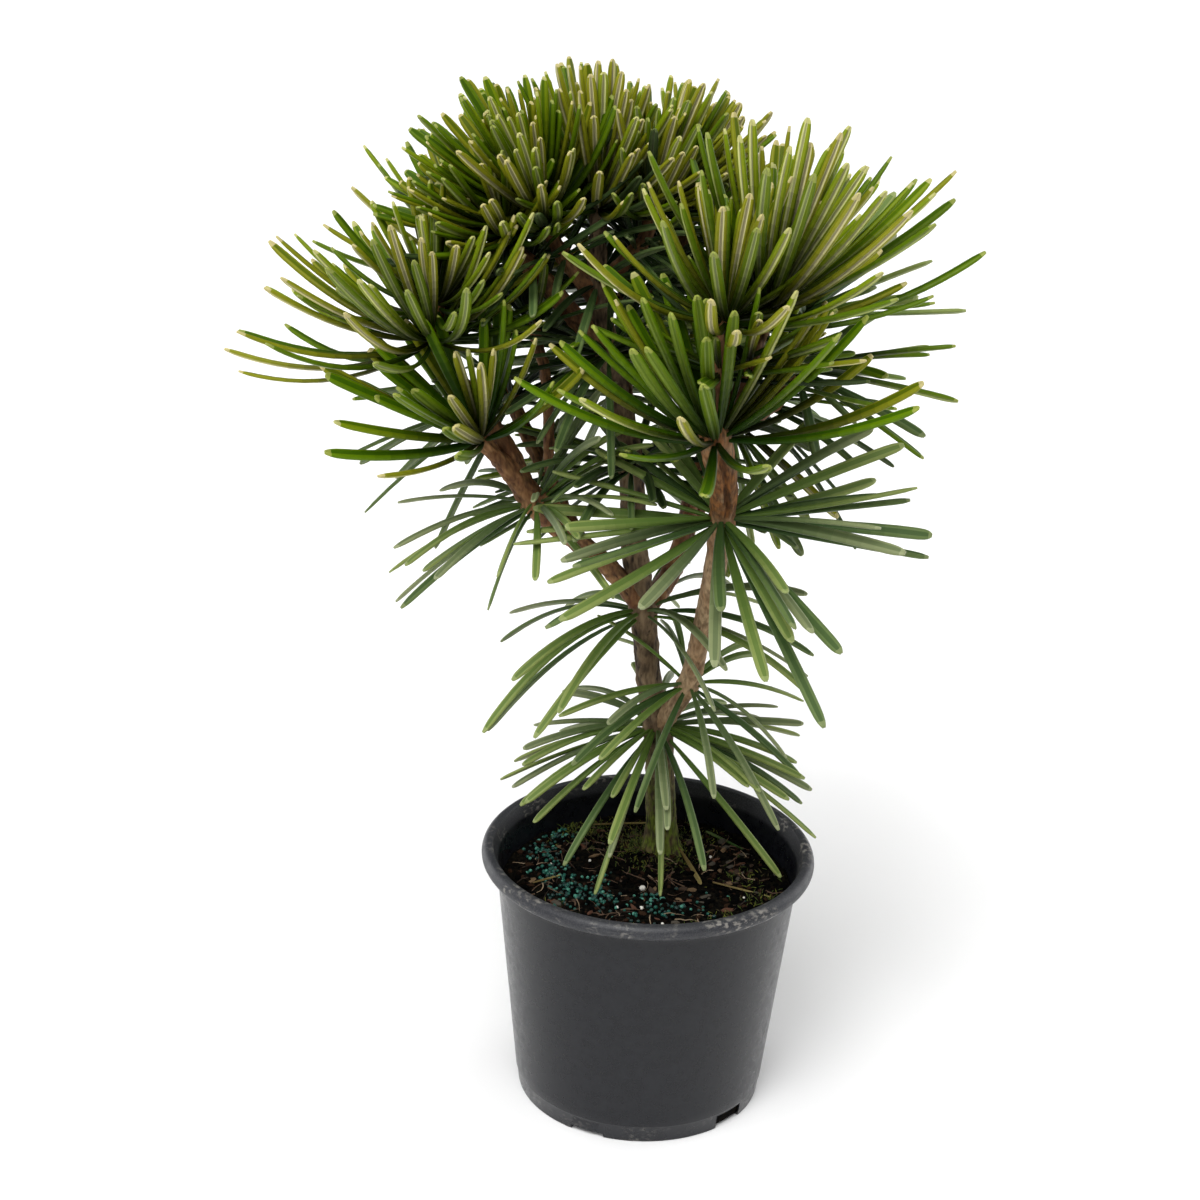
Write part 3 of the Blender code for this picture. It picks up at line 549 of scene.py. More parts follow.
def make_stage():
    """A pale floor under a plain pale sky, and soft boxes round the plant."""
    world = bpy.data.worlds.new("studio")
    world.use_nodes = True
    sky = world.node_tree.nodes["Background"]
    sky.inputs["Color"].default_value = (1.0, 1.0, 1.0, 1)
    sky.inputs["Strength"].default_value = WORLD_STRENGTH
    bpy.context.scene.world = world
    bpy.context.scene.view_settings.view_transform = "Standard"

    half = FLOOR_SIZE / 2
    corners = [(-half, -half, 0), (half, -half, 0), (half, half, 0), (-half, half, 0)]
    floor = array_mesh("floor", corners, [(0, 1, 2), (0, 2, 3)], smooth=False)
    floor.data.materials.append(plain_material("floor_paint", FLOOR_COLOUR, 0.9, 0.1))

    for name, (source, width, strength) in DIFFUSE_SKIES.items():
        add_light(name, "SUN", strength, Vector(source)).angle = math.radians(width)
    for name, (place, size, watts) in SOFT_BOXES.items():
        data = add_light(name, "AREA", watts, Vector(place) - Vector(LIGHT_TARGET), place)
        data.shape = "RECTANGLE"
        data.size, data.size_y = size


# ---------------------------------------- limbs and bark
class Limb:
    """A smooth tapering limb through its knots, measured by its length."""

    def __init__(self, knots):
        self.samples = []
        padded = [knots[0]] + list(knots) + [knots[-1]]
        for k in range(1, len(padded) - 2):
            for step in range(LIMB_STEPS):
                self.samples.append(self.between(padded[k - 1:k + 3], step / LIMB_STEPS))
        self.samples.append(tuple(float(value) for value in knots[-1]))
        self.lengths = [0.0]
        for here, there in zip(self.samples, self.samples[1:]):
            self.lengths.append(self.lengths[-1] + math.dist(here[:3], there[:3]))
        self.length = self.lengths[-1]

    @staticmethod
    def between(four, share):
        """Catmull-Rom blend of four knots at a share of the way from the second to the third."""
        before, start, end, after = four
        square, cube = share * share, share * share * share
        return tuple(
            0.5 * (2 * b + (c - a) * share + (2 * a - 5 * b + 4 * c - d) * square
                   + (3 * b - a - 3 * c + d) * cube)
            for a, b, c, d in zip(before, start, end, after))

    def at(self, share):
        """Point and radius at a share of the length."""
        wanted = min(max(share, 0.0), 1.0) * self.length
        index = 0
        while index < len(self.lengths) - 2 and self.lengths[index + 1] < wanted:
            index += 1
        span = self.lengths[index + 1] - self.lengths[index]
        part = (wanted - self.lengths[index]) / span
        here, there = self.samples[index], self.samples[index + 1]
        *place, radius = mixed(here, there, part)
        return Vector(place), radius

    def heading(self, share):
        reach = 0.01
        ahead, behind = self.at(share + reach)[0], self.at(share - reach)[0]
        return (ahead - behind).normalized()


def stretched_noise(along, turn, fine_round, fine_along, seed):
    """Noise over a limb's surface: along in mm, turn in radians, and how fine it is each way."""
    values = np.empty((len(along), len(turn)))
    for i, distance in enumerate(along):
        for k, angle in enumerate(turn):
            values[i, k] = noise.noise((math.cos(angle) * fine_round + seed,
                                        math.sin(angle) * fine_round, distance * fine_along))
    return values


def leaf_scars(along, turn, radius, length):
    """Raised scars in a spiral: pitch, size and angle as on a young umbrella pine shoot."""
    pitch = 1.9
    long_half, wide_half = 2.3, 1.0
    height = np.zeros((len(along), len(turn)))
    for index in range(int(length / pitch)):
        centre = (index + 0.5) * pitch
        rows = np.abs(along - centre) < 2.2 * long_half
        gap = (turn - GOLDEN_ANGLE * index + math.pi) % (2 * math.pi) - math.pi
        near = ((along[rows, None] - centre) / long_half) ** 2 + (gap[None, :] * radius / wide_half) ** 2
        height[rows] = np.maximum(height[rows], np.exp(-near * 1.3))
    return height


def bark_relief(name, limb, depths, along, turn, spokes, nodes):
    """Height of the bark over the limb's plain surface, in mm, for each ring and side."""
    lumps, fibres, cracks, scars = depths
    seed = sum(ord(letter) for letter in name) * 0.37
    relief = lumps * stretched_noise(along, turn, 1.1, 0.11, seed)
    relief += fibres * stretched_noise(along, turn, 4.6, 0.26, seed + 11)
    veins = np.abs(stretched_noise(along, turn, 2.6, 0.07, seed + 23))
    relief -= cracks * np.clip(1 - veins / 0.09, 0, 1)
    relief += scars * leaf_scars(along, turn, limb.at(0.5)[1], limb.length + TIP_BUD_LENGTH)
    ripple = 0.6 + 0.4 * np.cos(turn * 9 + seed)[None, :]
    for share in nodes:
        away = (along - share * limb.length) / NODE_SWELL_LENGTH
        relief += NODE_SWELL * np.exp(-away * away)[:, None] * ripple
    if name == SPLIT_LIMB:
        start, end = (share * limb.length for share in SPLIT_SHARES)
        inside = np.clip((along - start) / 6, 0, 1) * np.clip((end - along) / 6, 0, 1)
        sway = 0.34 + 0.05 * np.sin(along * 0.35) + 0.03 * np.sin(along * 0.9 + 1)
        angle = np.arctan2(spokes[..., 0], -spokes[..., 1]) - sway[:, None]
        relief -= SPLIT_DEPTH * inside[:, None] * np.exp(-(angle / SPLIT_WIDTH) ** 4)
    return relief


def make_bark(name, limb, nodes, depths, material):
    """One limb's bark: rings along it, pushed out and in by the relief, closed by a bud or a cap."""
    extra = TIP_BUD_LENGTH if TIP in nodes else 1.0
    along = np.linspace(0, limb.length + extra, round((limb.length + extra) / BARK_STEP) + 1)
    turn = np.arange(BARK_SIDES) * math.tau / BARK_SIDES
    centres = np.empty((len(along), 3))
    radii = np.empty(len(along))
    spokes = np.empty((len(along), BARK_SIDES, 3))
    side_way = Vector((1, 0, 0))
    tip, tip_heading = limb.at(TIP)[0], limb.heading(TIP)
    for i, distance in enumerate(along):
        share = distance / limb.length
        centre, radius = limb.at(share)
        heading = limb.heading(share)
        if share > 1:
            centre = tip + tip_heading * (distance - limb.length)
            heading = tip_heading
            radius *= math.sqrt(max(0.0, 1 - ((distance - limb.length) / extra) ** 2))
        if name == "trunk":
            heading = heading if i else Vector((0, 0, 1))
        else:
            radius *= 1 + BASE_SWELL * math.exp(-distance / BASE_SWELL_LENGTH)
        side_way = (side_way - heading * side_way.dot(heading)).normalized()
        centres[i] = centre
        radii[i] = max(radius, 0.05)
        spokes[i] = np.outer(np.cos(turn), side_way) + np.outer(np.sin(turn), heading.cross(side_way))
    relief = bark_relief(name, limb, depths, along, turn, spokes, nodes)
    relief *= np.clip(radii / 2.5, 0, 1)[:, None]
    points = (centres[:, None] + spokes * (radii[:, None] + relief)[..., None]).reshape(-1, 3)
    points = np.vstack([points, centres[:1], centres[-1:]]) * MM
    triangles = tube_triangles(len(along), BARK_SIDES)
    piece = array_mesh(name + "_bark", points, triangles)
    # The relief, stored on the points, drives the material's painted shade and painted highlight
    shade = piece.data.attributes.new("relief", "FLOAT", "POINT")
    values = np.append(0.5 + relief.ravel() / 1.6, (0.5, 0.5)).astype(np.float32)
    shade.data.foreach_set("value", values)
    dress(piece, [material], "bark", name)


def tube_triangles(rings, sides):
    """Triangles of a tube of rings, closed by fans to the two points that follow the rings."""
    triangles = []
    for ring in range(rings - 1):
        base = ring * sides
        for k in range(sides):
            nxt = (k + 1) % sides
            triangles.append((base + k, base + nxt, base + sides + nxt))
            triangles.append((base + k, base + sides + nxt, base + sides + k))
    last, cap = (rings - 1) * sides, rings * sides
    for k in range(sides):
        nxt = (k + 1) % sides
        triangles.append((cap, nxt, k))
        triangles.append((cap + 1, last + k, last + nxt))
    return triangles


def bark_material(name, dark, middle, pale, roughness, stain=None):
    """Bark: brown patches, fine fibres, painted shade in its cracks and a painted highlight on raised parts.
    """
    made = plain_material(name, middle, roughness, 0.3)
    wires = Wiring(made)
    patches = wires.between(wires.noise(9, 4, (1, 1, 2)), 0.35, 0.68)
    grain = wires.between(wires.noise(1.6, 3, (1, 1, 3.5)), 0.38, 0.66)
    relief = wires.attribute("relief")
    colour = wires.mix(patches, middle, pale)
    colour = wires.coat(colour, dark, grain, 0.55)
    # Painted shade where the relief sinks, as in cracks, and a painted highlight where it rises
    colour = wires.mix(wires.between(relief, 0.50, 0.12), colour, dark)
    colour = wires.coat(colour, pale, wires.between(relief, 0.58, 0.95), 0.7)
    if stain:
        tone, start, full = stain
        spread = wires.between(wires.noise(7, 4), 0.30, 0.55)
        stained = wires.times(wires.between(wires.height(), start, full), spread)
        colour = wires.coat(colour, wires.mix(grain, tone, dark), stained, 0.90)
    wires.finish(colour)
    wires.bump(wires.noise(0.9, 4, (1, 1, 2.5)), 0.25, 0.7)
    return made


def make_limbs(limbs):
    materials = {kind: bark_material("bark_" + kind, *looks) for kind, (_, *looks) in BARKS.items()}
    for name, limb in limbs.items():
        nodes = [row[2] for row in WHORLS + UNDER_WHORLS if row[1] == name]
        kind = BARK_KINDS.get(name, "young")
        make_bark(name, limb, nodes, BARKS[kind][0], materials[kind])


# ---------------------------------------- needles
class Needle:
    """One needle's curve and flat; the coarse blade is for clearance, the fine one is drawn."""

    def __init__(self, root, direction, axis, length, sag, curl, arch, twist):
        down = Vector((0, 0, -1))
        self.root = root
        self.length = length
        curve = axis * curl + down * arch
        self.direction = direction - curve
        self.bend = (down * sag if sag > 0 else axis * -sag) + curve
        flat = direction.cross(axis)
        if flat.length < 0.05:
            flat = direction.orthogonal()
        self.flat = Matrix.Rotation(twist, 3, direction) @ flat.normalized()

    def point(self, share):
        return self.root + (self.direction * share + self.bend * share * share) * self.length

    def tree(self, start, slim=1.0):
        """Search tree of a coarse three-sided blade, made slimmer for tests against other needles."""
        root_width = NEEDLE_ROOT_WIDTH + (NEEDLE_WIDTH - NEEDLE_ROOT_WIDTH) * start / MIDDLE_SHARE
        points = []
        for share, width in ((start, root_width), (MIDDLE_SHARE, NEEDLE_WIDTH), (1.0, NEEDLE_TIP_WIDTH)):
            half = width / 2 * slim
            keel = NEEDLE_THICKNESS * (0.35 + 0.65 * width / NEEDLE_WIDTH) * slim
            ahead = (self.direction + self.bend * (2 * share)).normalized()
            across = (self.flat - ahead * self.flat.dot(ahead)).normalized()
            down = ahead.cross(across)
            centre = self.point(share)
            points += [centre + across * half, centre - across * half, centre - down * keel]
        faces = [(base + a, base + b, base + c) for base in (0, 3)
                 for a, b, c in ((0, 1, 4), (0, 4, 3), (1, 2, 5), (1, 5, 4), (2, 0, 3), (2, 3, 5))]
        return BVHTree.FromPolygons([p * MM for p in points], faces + [(0, 2, 1), (6, 7, 8)])


class Whorl:
    """Where a whorl stands, and the rule that lays out its needles."""

    def __init__(self, row, limbs):
        (self.name, limb_name, self.share, self.count, self.shortest, self.longest,
         self.least, self.greatest, self.sag, kind) = row
        self.curl, self.arch, self.girth, self.twist, self.low_tints, self.tints, self.detail = kind
        limb = limbs[limb_name]
        self.centre, self.radius = limb.at(self.share)
        lean = Vector((*LEANS.get(self.name, (0, 0)), 0))
        self.axis = (limb.heading(self.share) + lean).normalized()
        self.outward = Vector((self.centre.x - CROWN_CENTRE[0], self.centre.y - CROWN_CENTRE[1], 0))
        self.outward /= max(self.outward.length, CROWN_INNER_RADIUS)
        self.random = random.Random(SEED + sum(ord(letter) for letter in self.name) * 7)
        self.turned = math.radians(TURNS.get(self.name, 0))
        self.phase = self.random.uniform(0, math.tau) - CLUMPS * self.turned
        self.root_share = (HUB_CLEAR + self.radius) / self.longest
        self.needles = []
        self.cores = []

    def needle(self, index, loose):
        """Needle number index: outer, longer needles first, inner and steeper ones last."""
        draw = self.random.uniform
        inward = (index + 0.5) / self.count
        tilt = math.radians(self.greatest + (self.least - self.greatest) * inward ** 0.9
                            + draw(-TILT_JITTER, TILT_JITTER) * loose)
        turn = GOLDEN_ANGLE * index + self.turned + draw(-TURN_JITTER, TURN_JITTER) * loose
        turn += CLUMPING * math.sin(CLUMPS * turn + self.phase)
        side_way = Vector((0, 1, 0)).cross(self.axis).normalized()
        spoke = side_way * math.cos(turn) + self.axis.cross(side_way) * math.sin(turn)
        direction = self.axis * math.cos(tilt) + spoke * math.sin(tilt)
        length = self.longest + (self.shortest - self.longest) * inward + draw(*LENGTH_JITTER)
        length *= 1 + OUTWARD_GAIN * direction.dot(self.outward)
        if self.share == TIP:
            along, out = GAP + 2.0 + (BUD_LENGTH - 4.0) * inward, 0.25
        else:
            along, out = (inward - 0.5) * (COLLAR_HEIGHT - 3.5), 0.6
        root = self.centre + self.axis * along + spoke * (self.radius * out)
        sag = self.sag + draw(-SAG_JITTER, SAG_JITTER)
        curl = self.curl * draw(*CURL_RANGE) * math.sin(tilt)
        arch = self.arch * draw(*ARCH_RANGE)
        return Needle(root, direction, self.axis, length, sag, curl, arch, draw(-1, 1) * self.twist)


def grow_whorls(limbs, obstacles):
    """Lay out every needle that stays clear of the limbs, the pot, the soil and its neighbours."""
    whorls = [Whorl(row, limbs) for row in WHORLS + UNDER_WHORLS]
    for index in range(max(whorl.count for whorl in whorls)):
        for whorl in whorls:
            if index < whorl.count:
                place_needle(whorl, index, whorls, obstacles)
    return whorls


def place_needle(whorl, index, whorls, obstacles):
    """Try a few places for one needle, each further from the regular one, and keep the first free."""
    near = [other for other in whorls
            if (other.centre - whorl.centre).length < whorl.longest + other.longest + NEIGHBOUR_GAP]
    for attempt in range(NEEDLE_TRIES):
        needle = whorl.needle(index, loose=1 + attempt * TRY_LOOSENING)
        whole, core = needle.tree(whorl.root_share), needle.tree(whorl.root_share, CORE_SHARE)
        blocked = (any(whole.overlap(tree) for tree in obstacles)
                   or any(core.overlap(tree) for other in near for tree in other.cores))
        if not blocked:
            whorl.needles.append(needle)
            whorl.cores.append(core)
            return


def mixed(first, second, share):
    return tuple(a + (b - a) * share for a, b in zip(first, second))


def zone_colour(tint, zone, place, least, light_gain):
    """Plain colour of one zone of a needle's part, from the tint's painted root shade to the part's own."""
    root_shade, tip = TINTS[tint][0], TINTS[tint][3]
    # The root colour is painted shade, and the zone's share of painted light lifts it to the part's colour
    colour = mixed(root_shade, TINTS[tint][place], min(least + light_gain * ZONE_PAINTED_LIGHT[zone], 1))
    return mixed(colour, tip, TIP_SHARE) if zone == len(ZONE_ENDS) - 1 else colour


def needle_materials():
    """One plain material for each tint, zone and part of the section, in a fixed order."""
    made = []
    for tint in TINTS:
        for zone in range(len(ZONE_ENDS)):
            for name, place, least, light_gain, *gloss in PARTS:
                colour = zone_colour(tint, zone, place, least, light_gain)
                made.append(plain_material(f"needle_{tint}_{name}_{zone}", colour, *gloss))
    return made


def needle_points(needle, stout, stations, wobble):
    """Points in mm of one fine needle: a ring of the section at each station, and both its ends."""
    section = np.array(SECTION)
    share = stations[:, None] ** wobble.uniform(*ZONE_SHIFTS)
    girth = stout * wobble.uniform(*GIRTH_RANGE)
    sway = wobble.uniform(-GREATEST_SWAY, GREATEST_SWAY)
    roll = wobble.uniform(-GREATEST_ROLL, GREATEST_ROLL)
    direction, flat = np.array(needle.direction), np.array(needle.flat)
    bend = np.array(needle.bend) + flat * sway
    centres = np.array(needle.root) + (direction * share + bend * share ** 2) * needle.length
    ahead = direction + bend * (2 * share)
    ahead /= np.linalg.norm(ahead, axis=1, keepdims=True)
    across = flat - ahead * (ahead @ flat)[:, None]
    across /= np.linalg.norm(across, axis=1, keepdims=True)
    down = np.cross(ahead, across)
    angle = roll * share * share
    across, down = (across * np.cos(angle) + down * np.sin(angle),
                    down * np.cos(angle) - across * np.sin(angle))
    widths = np.interp(stations, WIDTH_SHARES, WIDTHS) / 2
    thicks = np.interp(stations, THICKNESS_SHARES, THICKNESSES) / 2
    points = (centres[:, None]
              + across[:, None] * (section[:, 0] * widths[:, None] * girth)[..., None]
              + down[:, None] * (section[:, 1] * thicks[:, None] * girth)[..., None])
    return np.vstack([points.reshape(-1, 3), centres[:1], centres[-1:]])


def needle_parts(grown, detail, wobble):
    """Parts for join: a fine needle for each (needle, tint, girth)."""
    stations = np.array(STATIONS[detail])
    triangles = np.array(tube_triangles(len(stations), len(SECTION)))
    zones = np.array(triangle_zones(stations, len(SECTION)))
    tint_size = len(ZONE_ENDS) * len(PARTS)
    return [(needle_points(needle, girth, stations, wobble), triangles,
             zones + list(TINTS).index(tint) * tint_size) for needle, tint, girth in grown]


def triangle_zones(stations, sides):
    """Zone index of each of tube_triangles' triangles: its place along, then its part across."""
    zones = []
    for start, end in zip(stations, stations[1:]):
        zone = next(k for k, limit in enumerate(ZONE_ENDS) if (start + end) / 2 < limit)
        for k in range(sides):
            zones += [zone * len(PARTS) + SECTION_PARTS[k]] * 2
    return zones + [0, (len(ZONE_ENDS) - 1) * len(PARTS)] * sides


def make_needles(whorls, materials):
    """Join the needles by the side of the plant that they are on and by how finely they are drawn."""
    for group in GROUPS:
        for detail in STATIONS:
            members = [whorl for whorl in whorls
                       if whorl.name.split("_")[1] == group and whorl.detail == detail]
            if not members:
                continue
            name = f"needles_{group}_{detail}"
            dealer = random.Random(name)
            grown = []
            for whorl in members:
                # The lowest needles take darker tints: painted shade under the needles above them
                lowest = SHADED_LOW_SHARE * len(whorl.needles)
                for place, needle in enumerate(whorl.needles):
                    tint = dealer.choice(whorl.low_tints if place < lowest else whorl.tints)
                    grown.append((needle, tint, whorl.girth))
            solids = [whorl.name for whorl in members if whorl.name.startswith("whorl")]
            join(name, needle_parts(grown, detail, dealer), materials, "needles", *solids)


# ---------------------------------------- pot
def wall_radius(height):
    """Outside radius of the pot's wall at a height, from its foot to under the rim."""
    share = height / (POT_HEIGHT - POT_RIM_HEIGHT)
    return POT_BASE_RADIUS + POT_FOOT_STEP + (POT_WALL_TOP_RADIUS - POT_BASE_RADIUS) * share


def pot_profile():
    under_rim = POT_HEIGHT - POT_RIM_HEIGHT
    roll = POT_RIM_HEIGHT / 2
    foot = POT_FOOT_HEIGHT
    outer = [(0, 0), (POT_BASE_RADIUS - 0.8, 0), (POT_BASE_RADIUS - 0.1, 0.3), (POT_BASE_RADIUS + 0.1, 1.0)]
    outer += [(wall_radius(foot) - POT_FOOT_STEP, foot - 0.2), (wall_radius(foot) - 0.1, foot + 0.35)]
    outer += [(wall_radius(height), height) for height in np.linspace(foot + 0.9, under_rim - 0.8, 24)]
    outer += [(wall_radius(under_rim) + 0.5, under_rim - 0.1)]
    centre = POT_RIM_RADIUS - roll
    for angle in range(-80, 81, 10):
        turn = math.radians(angle)
        outer.append((centre + roll * math.cos(turn), under_rim + roll + roll * math.sin(turn)))
    mouth = POT_MOUTH_RADIUS
    inner = [(mouth + 1.2, POT_HEIGHT - 0.1), (mouth + 0.4, POT_HEIGHT - 0.5), (mouth, POT_HEIGHT - 1.4)]
    inner += [(wall_radius(height) - POT_WALL, height) for height in np.linspace(under_rim, POT_FLOOR, 18)]
    return outer + inner + [(0, POT_FLOOR)]


def revolve(name, profile, sides):
    """Turn a closed outline of (radius, height) points, in mm, round the Z axis."""
    points, triangles, rings = [], [], []
    for radius, height in profile:
        count = sides if radius else 1
        rings.append([len(points) + k for k in range(count)])
        for k in range(count):
            x, y = polar(radius, math.tau * k / sides)
            points.append((x * MM, y * MM, height * MM))
    for low, high in zip(rings, rings[1:]):
        for k in range(sides):
            nxt = (k + 1) % sides
            if len(high) > 1:
                triangles.append((low[k % len(low)], high[nxt], high[k]))
            if len(low) > 1:
                triangles.append((low[k], low[nxt], high[nxt % len(high)]))
    return array_mesh(name, points, triangles)


def cut_box(target, place, angle, size):
    """Cut a box out of target: its place in mm, its turn about Z and its size in mm."""
    shape = bmesh.new()
    bmesh.ops.create_cube(shape, size=1)
    mesh = bpy.data.meshes.new("cutter")
    shape.to_mesh(mesh)
    shape.free()
    turn = Matrix.Rotation(angle, 3, "Z").to_quaternion()
    mesh.transform(Matrix.LocRotScale(Vector(place) * MM, turn, Vector(size) * MM))
    cutter = add_object("cutter", mesh)
    modifier = target.modifiers.new("cut", "BOOLEAN")
    modifier.operation = "DIFFERENCE"
    modifier.object = cutter
    depsgraph = bpy.context.evaluated_depsgraph_get()
    result = bpy.data.meshes.new_from_object(target.evaluated_get(depsgraph))
    target.modifiers.clear()
    target.data = result
    bpy.data.objects.remove(cutter, do_unlink=True)


def pot_material():
    """Black polypropylene: satin walls, a worn grey rim and a scuffed foot."""
    made = plain_material("pot_plastic", POT_COLOUR, 0.36, 0.34)
    wires = Wiring(made)
    height = wires.height()
    rim = wires.between(height, POT_HEIGHT - POT_RIM_HEIGHT, POT_HEIGHT - POT_RIM_HEIGHT + 2)
    foot = wires.between(height, POT_FOOT_HEIGHT + 1, POT_FOOT_HEIGHT - 1)
    worn = wires.between(wires.noise(26, 4, distortion=0.8), 0.50, 0.62)
    scuff = wires.between(wires.noise(1.5, 5, (2, 2, 1)), 0.50, 0.62)
    fine = wires.between(wires.noise(5, 6), 0.40, 0.75)
    grit = wires.between(wires.noise(0.6, 2), 0.42, 0.62)
    edge = wires.calc("MAXIMUM", rim, wires.times(foot, 0.45))
    colour = wires.mix(edge, POT_COLOUR, (0.020, 0.021, 0.025))
    colour = wires.coat(colour, (0.075, 0.076, 0.082), wires.times(grit, rim), 0.40)
    colour = wires.coat(colour, (0.25, 0.235, 0.21), wires.times(wires.times(worn, scuff), edge), 0.8)
    colour = wires.coat(colour, (0.060, 0.062, 0.072), fine, 0.08)
    rough = wires.calc("ADD", wires.times(fine, 0.14), 0.26)
    wires.finish(colour, wires.calc("ADD", rough, wires.times(rim, 0.16)))
    wires.bump(wires.noise(1.4, 3), 0.05, 0.35)
    return made


def make_pot():
    pot = revolve("pot_shell", pot_profile(), POT_SIDES)
    for index in range(DRAIN_COUNT):
        angle = math.radians(DRAIN_FIRST_ANGLE + 360 * index / DRAIN_COUNT)
        height = DRAIN_HEIGHT
        if index == FLAP_SLOT:
            height = FLAP_SLOT_HEIGHT
            flap = 2 * (POT_WALL - FLAP_RECESS)
            face = polar(POT_BASE_RADIUS + POT_FOOT_STEP + flap / 2, angle)
            cut_box(pot, (*face, 0), angle, (flap, DRAIN_WIDTH, 2 * DRAIN_HEIGHT))
        cut_box(pot, (*polar(POT_BASE_RADIUS, angle), 0), angle, (2 * DRAIN_DEPTH, DRAIN_WIDTH, 2 * height))
    pot.data.materials.clear()
    pot.data.shade_smooth()
    pot.data.set_sharp_from_angle(angle=math.radians(35))
    dress(pot, [pot_material()], "pot_plastic", "pot")


# ---------------------------------------- soil and what lies on it
def soil_height(x, y):
    """Height of the soil, in mm: lumps, and a mound round the trunk's foot."""
    foot_x, foot_y = LIMBS["trunk"][0][:2]
    away = math.hypot(x - foot_x, y - foot_y)
    lumps = (2.2 * noise.noise((x / 15, y / 15, 3.1)) + 1.1 * noise.noise((x / 5.5, y / 5.5, 7.7))
             + 0.6 * noise.noise((x / 2.3, y / 2.3, 1.9)))
    return SOIL_TOP + lumps + 4.5 * math.exp(-(away / 19) ** 2)


def soil_material():
    made = plain_material("soil", (0.010, 0.008, 0.006), 0.9, 0.03)
    wires = Wiring(made)
    grains = wires.between(wires.noise(2.2, 5), 0.42, 0.62)
    flecks = wires.between(wires.noise(1.3, 2), 0.66, 0.72)
    colour = wires.mix(grains, (0.001, 0.001, 0.001), (0.006, 0.005, 0.003))
    wires.finish(wires.coat(colour, (0.042, 0.026, 0.014), flecks, 0.5))
    wires.bump(wires.noise(1.1, 5), 0.5, 0.9)
    return made


def make_soil():
    reach = wall_radius(SOIL_TOP) - POT_WALL - 0.2
    low = POT_FLOOR + GAP
    radii = [reach * ring / SOIL_RINGS for ring in range(1, SOIL_RINGS + 1)]
    radii.append(wall_radius(low) - POT_WALL - 0.4)
    points = [(0, 0, soil_height(0, 0))]
    for ring, radius in enumerate(radii):
        for k in range(SOIL_SIDES):
            x, y = polar(radius, math.tau * k / SOIL_SIDES)
            points.append((x, y, soil_height(x, y) if ring < SOIL_RINGS else low))
    points.append((0, 0, low))
    triangles = []
    for k in range(SOIL_SIDES):
        nxt = (k + 1) % SOIL_SIDES
        triangles.append((0, 1 + k, 1 + nxt))
        for ring in range(SOIL_RINGS):
            near, far = 1 + ring * SOIL_SIDES, 1 + (ring + 1) * SOIL_SIDES
            triangles.append((near + k, far + k, far + nxt))
            triangles.append((near + k, far + nxt, near + nxt))
        triangles.append((len(points) - 1, far + nxt, far + k))
    soil = array_mesh("soil_surface", np.array(points) * MM, triangles)
    dress(soil, [soil_material()], "soil", "potting_soil")


def on_soil(x, y, lift):
    return x, y, soil_height(x, y) + lift


def ball(subdivisions):
    """Points and triangles of a unit ball."""
    shape = bmesh.new()
    bmesh.ops.create_icosphere(shape, subdivisions=subdivisions, radius=1)
    points = np.array([vertex.co for vertex in shape.verts])
    triangles = np.array([[vertex.index for vertex in face.verts] for face in shape.faces])
    shape.free()
    return points, triangles


def make_lumps(name, rows, subdivisions, rough, materials, smooth=False):
    """Joined lumps. A row is (place, three half sizes, material index); rough is how uneven they are."""
    base, faces = ball(subdivisions)
    draw = random.Random(name)
    parts = []
    for place, sizes, index in rows:
        bumps = np.array([1 + draw.uniform(-rough, rough) for _ in base])
        spin, lean = draw.uniform(0, math.tau), draw.uniform(-0.6, 0.6)
        turn = Matrix.Rotation(spin, 3, "Z") @ Matrix.Rotation(lean, 3, "X")
        shaped = base * bumps[:, None] * np.array(sizes)
        parts.append((shaped @ np.array(turn).T + np.array(place), faces, index))
    join(name, parts, [plain_material(*row) for row in materials], "soil", smooth=smooth)


def in_pot(draw, margin):
    """A random place on the soil, at least a margin inside the wall."""
    reach = wall_radius(SOIL_TOP) - POT_WALL - margin
    radius = reach * math.sqrt(draw.random())
    return polar(radius, draw.uniform(0, math.tau))


def scatter(draw, spots):
    """Random places round each of the spots, kept inside the pot."""
    reach = wall_radius(SOIL_TOP) - POT_WALL - SPOT_MARGIN
    for spot_x, spot_y, spread, count in spots:
        for _ in range(count):
            x, y = math.inf, 0
            while math.hypot(x, y) >= reach:
                x, y = draw.gauss(spot_x, spread), draw.gauss(spot_y, spread)
            yield x, y


def make_peat_crumbs(draw):
    crumbs = []
    for _ in range(CRUMB_COUNT):
        x, y = in_pot(draw, SPOT_MARGIN)
        size = draw.uniform(0.5, 1.9)
        sizes = (size * draw.uniform(0.7, 1.5), size, size * draw.uniform(0.5, 0.9))
        crumbs.append((on_soil(x, y, size * 0.2), sizes, draw.choice(LUMP_ODDS)))
    make_lumps("peat_crumbs", crumbs, 1, 0.22, PEAT)


def make_bark_chips(draw):
    chips = []
    for x, y in scatter(draw, CHIP_SPOTS):
        size = draw.uniform(0.9, 2.6)
        sizes = (size * draw.uniform(1.0, 1.9), size * 0.7, size * draw.uniform(0.25, 0.5))
        chips.append((on_soil(x, y, 0.6), sizes, draw.randrange(len(WOOD))))
    make_lumps("bark_chips", chips, 1, 0.30, WOOD)


def make_fertiliser_beads(draw):
    beads = []
    for x, y in scatter(draw, BEAD_SPOTS):
        size = draw.uniform(0.70, 1.15)
        sizes = (size, size * draw.uniform(0.9, 1.0), size * draw.uniform(0.9, 1.0))
        beads.append((on_soil(x, y, size * 0.55), sizes, draw.choice(LUMP_ODDS)))
    make_lumps("fertiliser_beads", beads, 2, 0.02, BEADS, smooth=True)


def make_perlite():
    grains = [(on_soil(x, y, size * 0.5), (size, size, size * 0.85), 0) for x, y, size in PERLITE_SPOTS]
    make_lumps("perlite", grains, 2, 0.06, PERLITE, smooth=True)


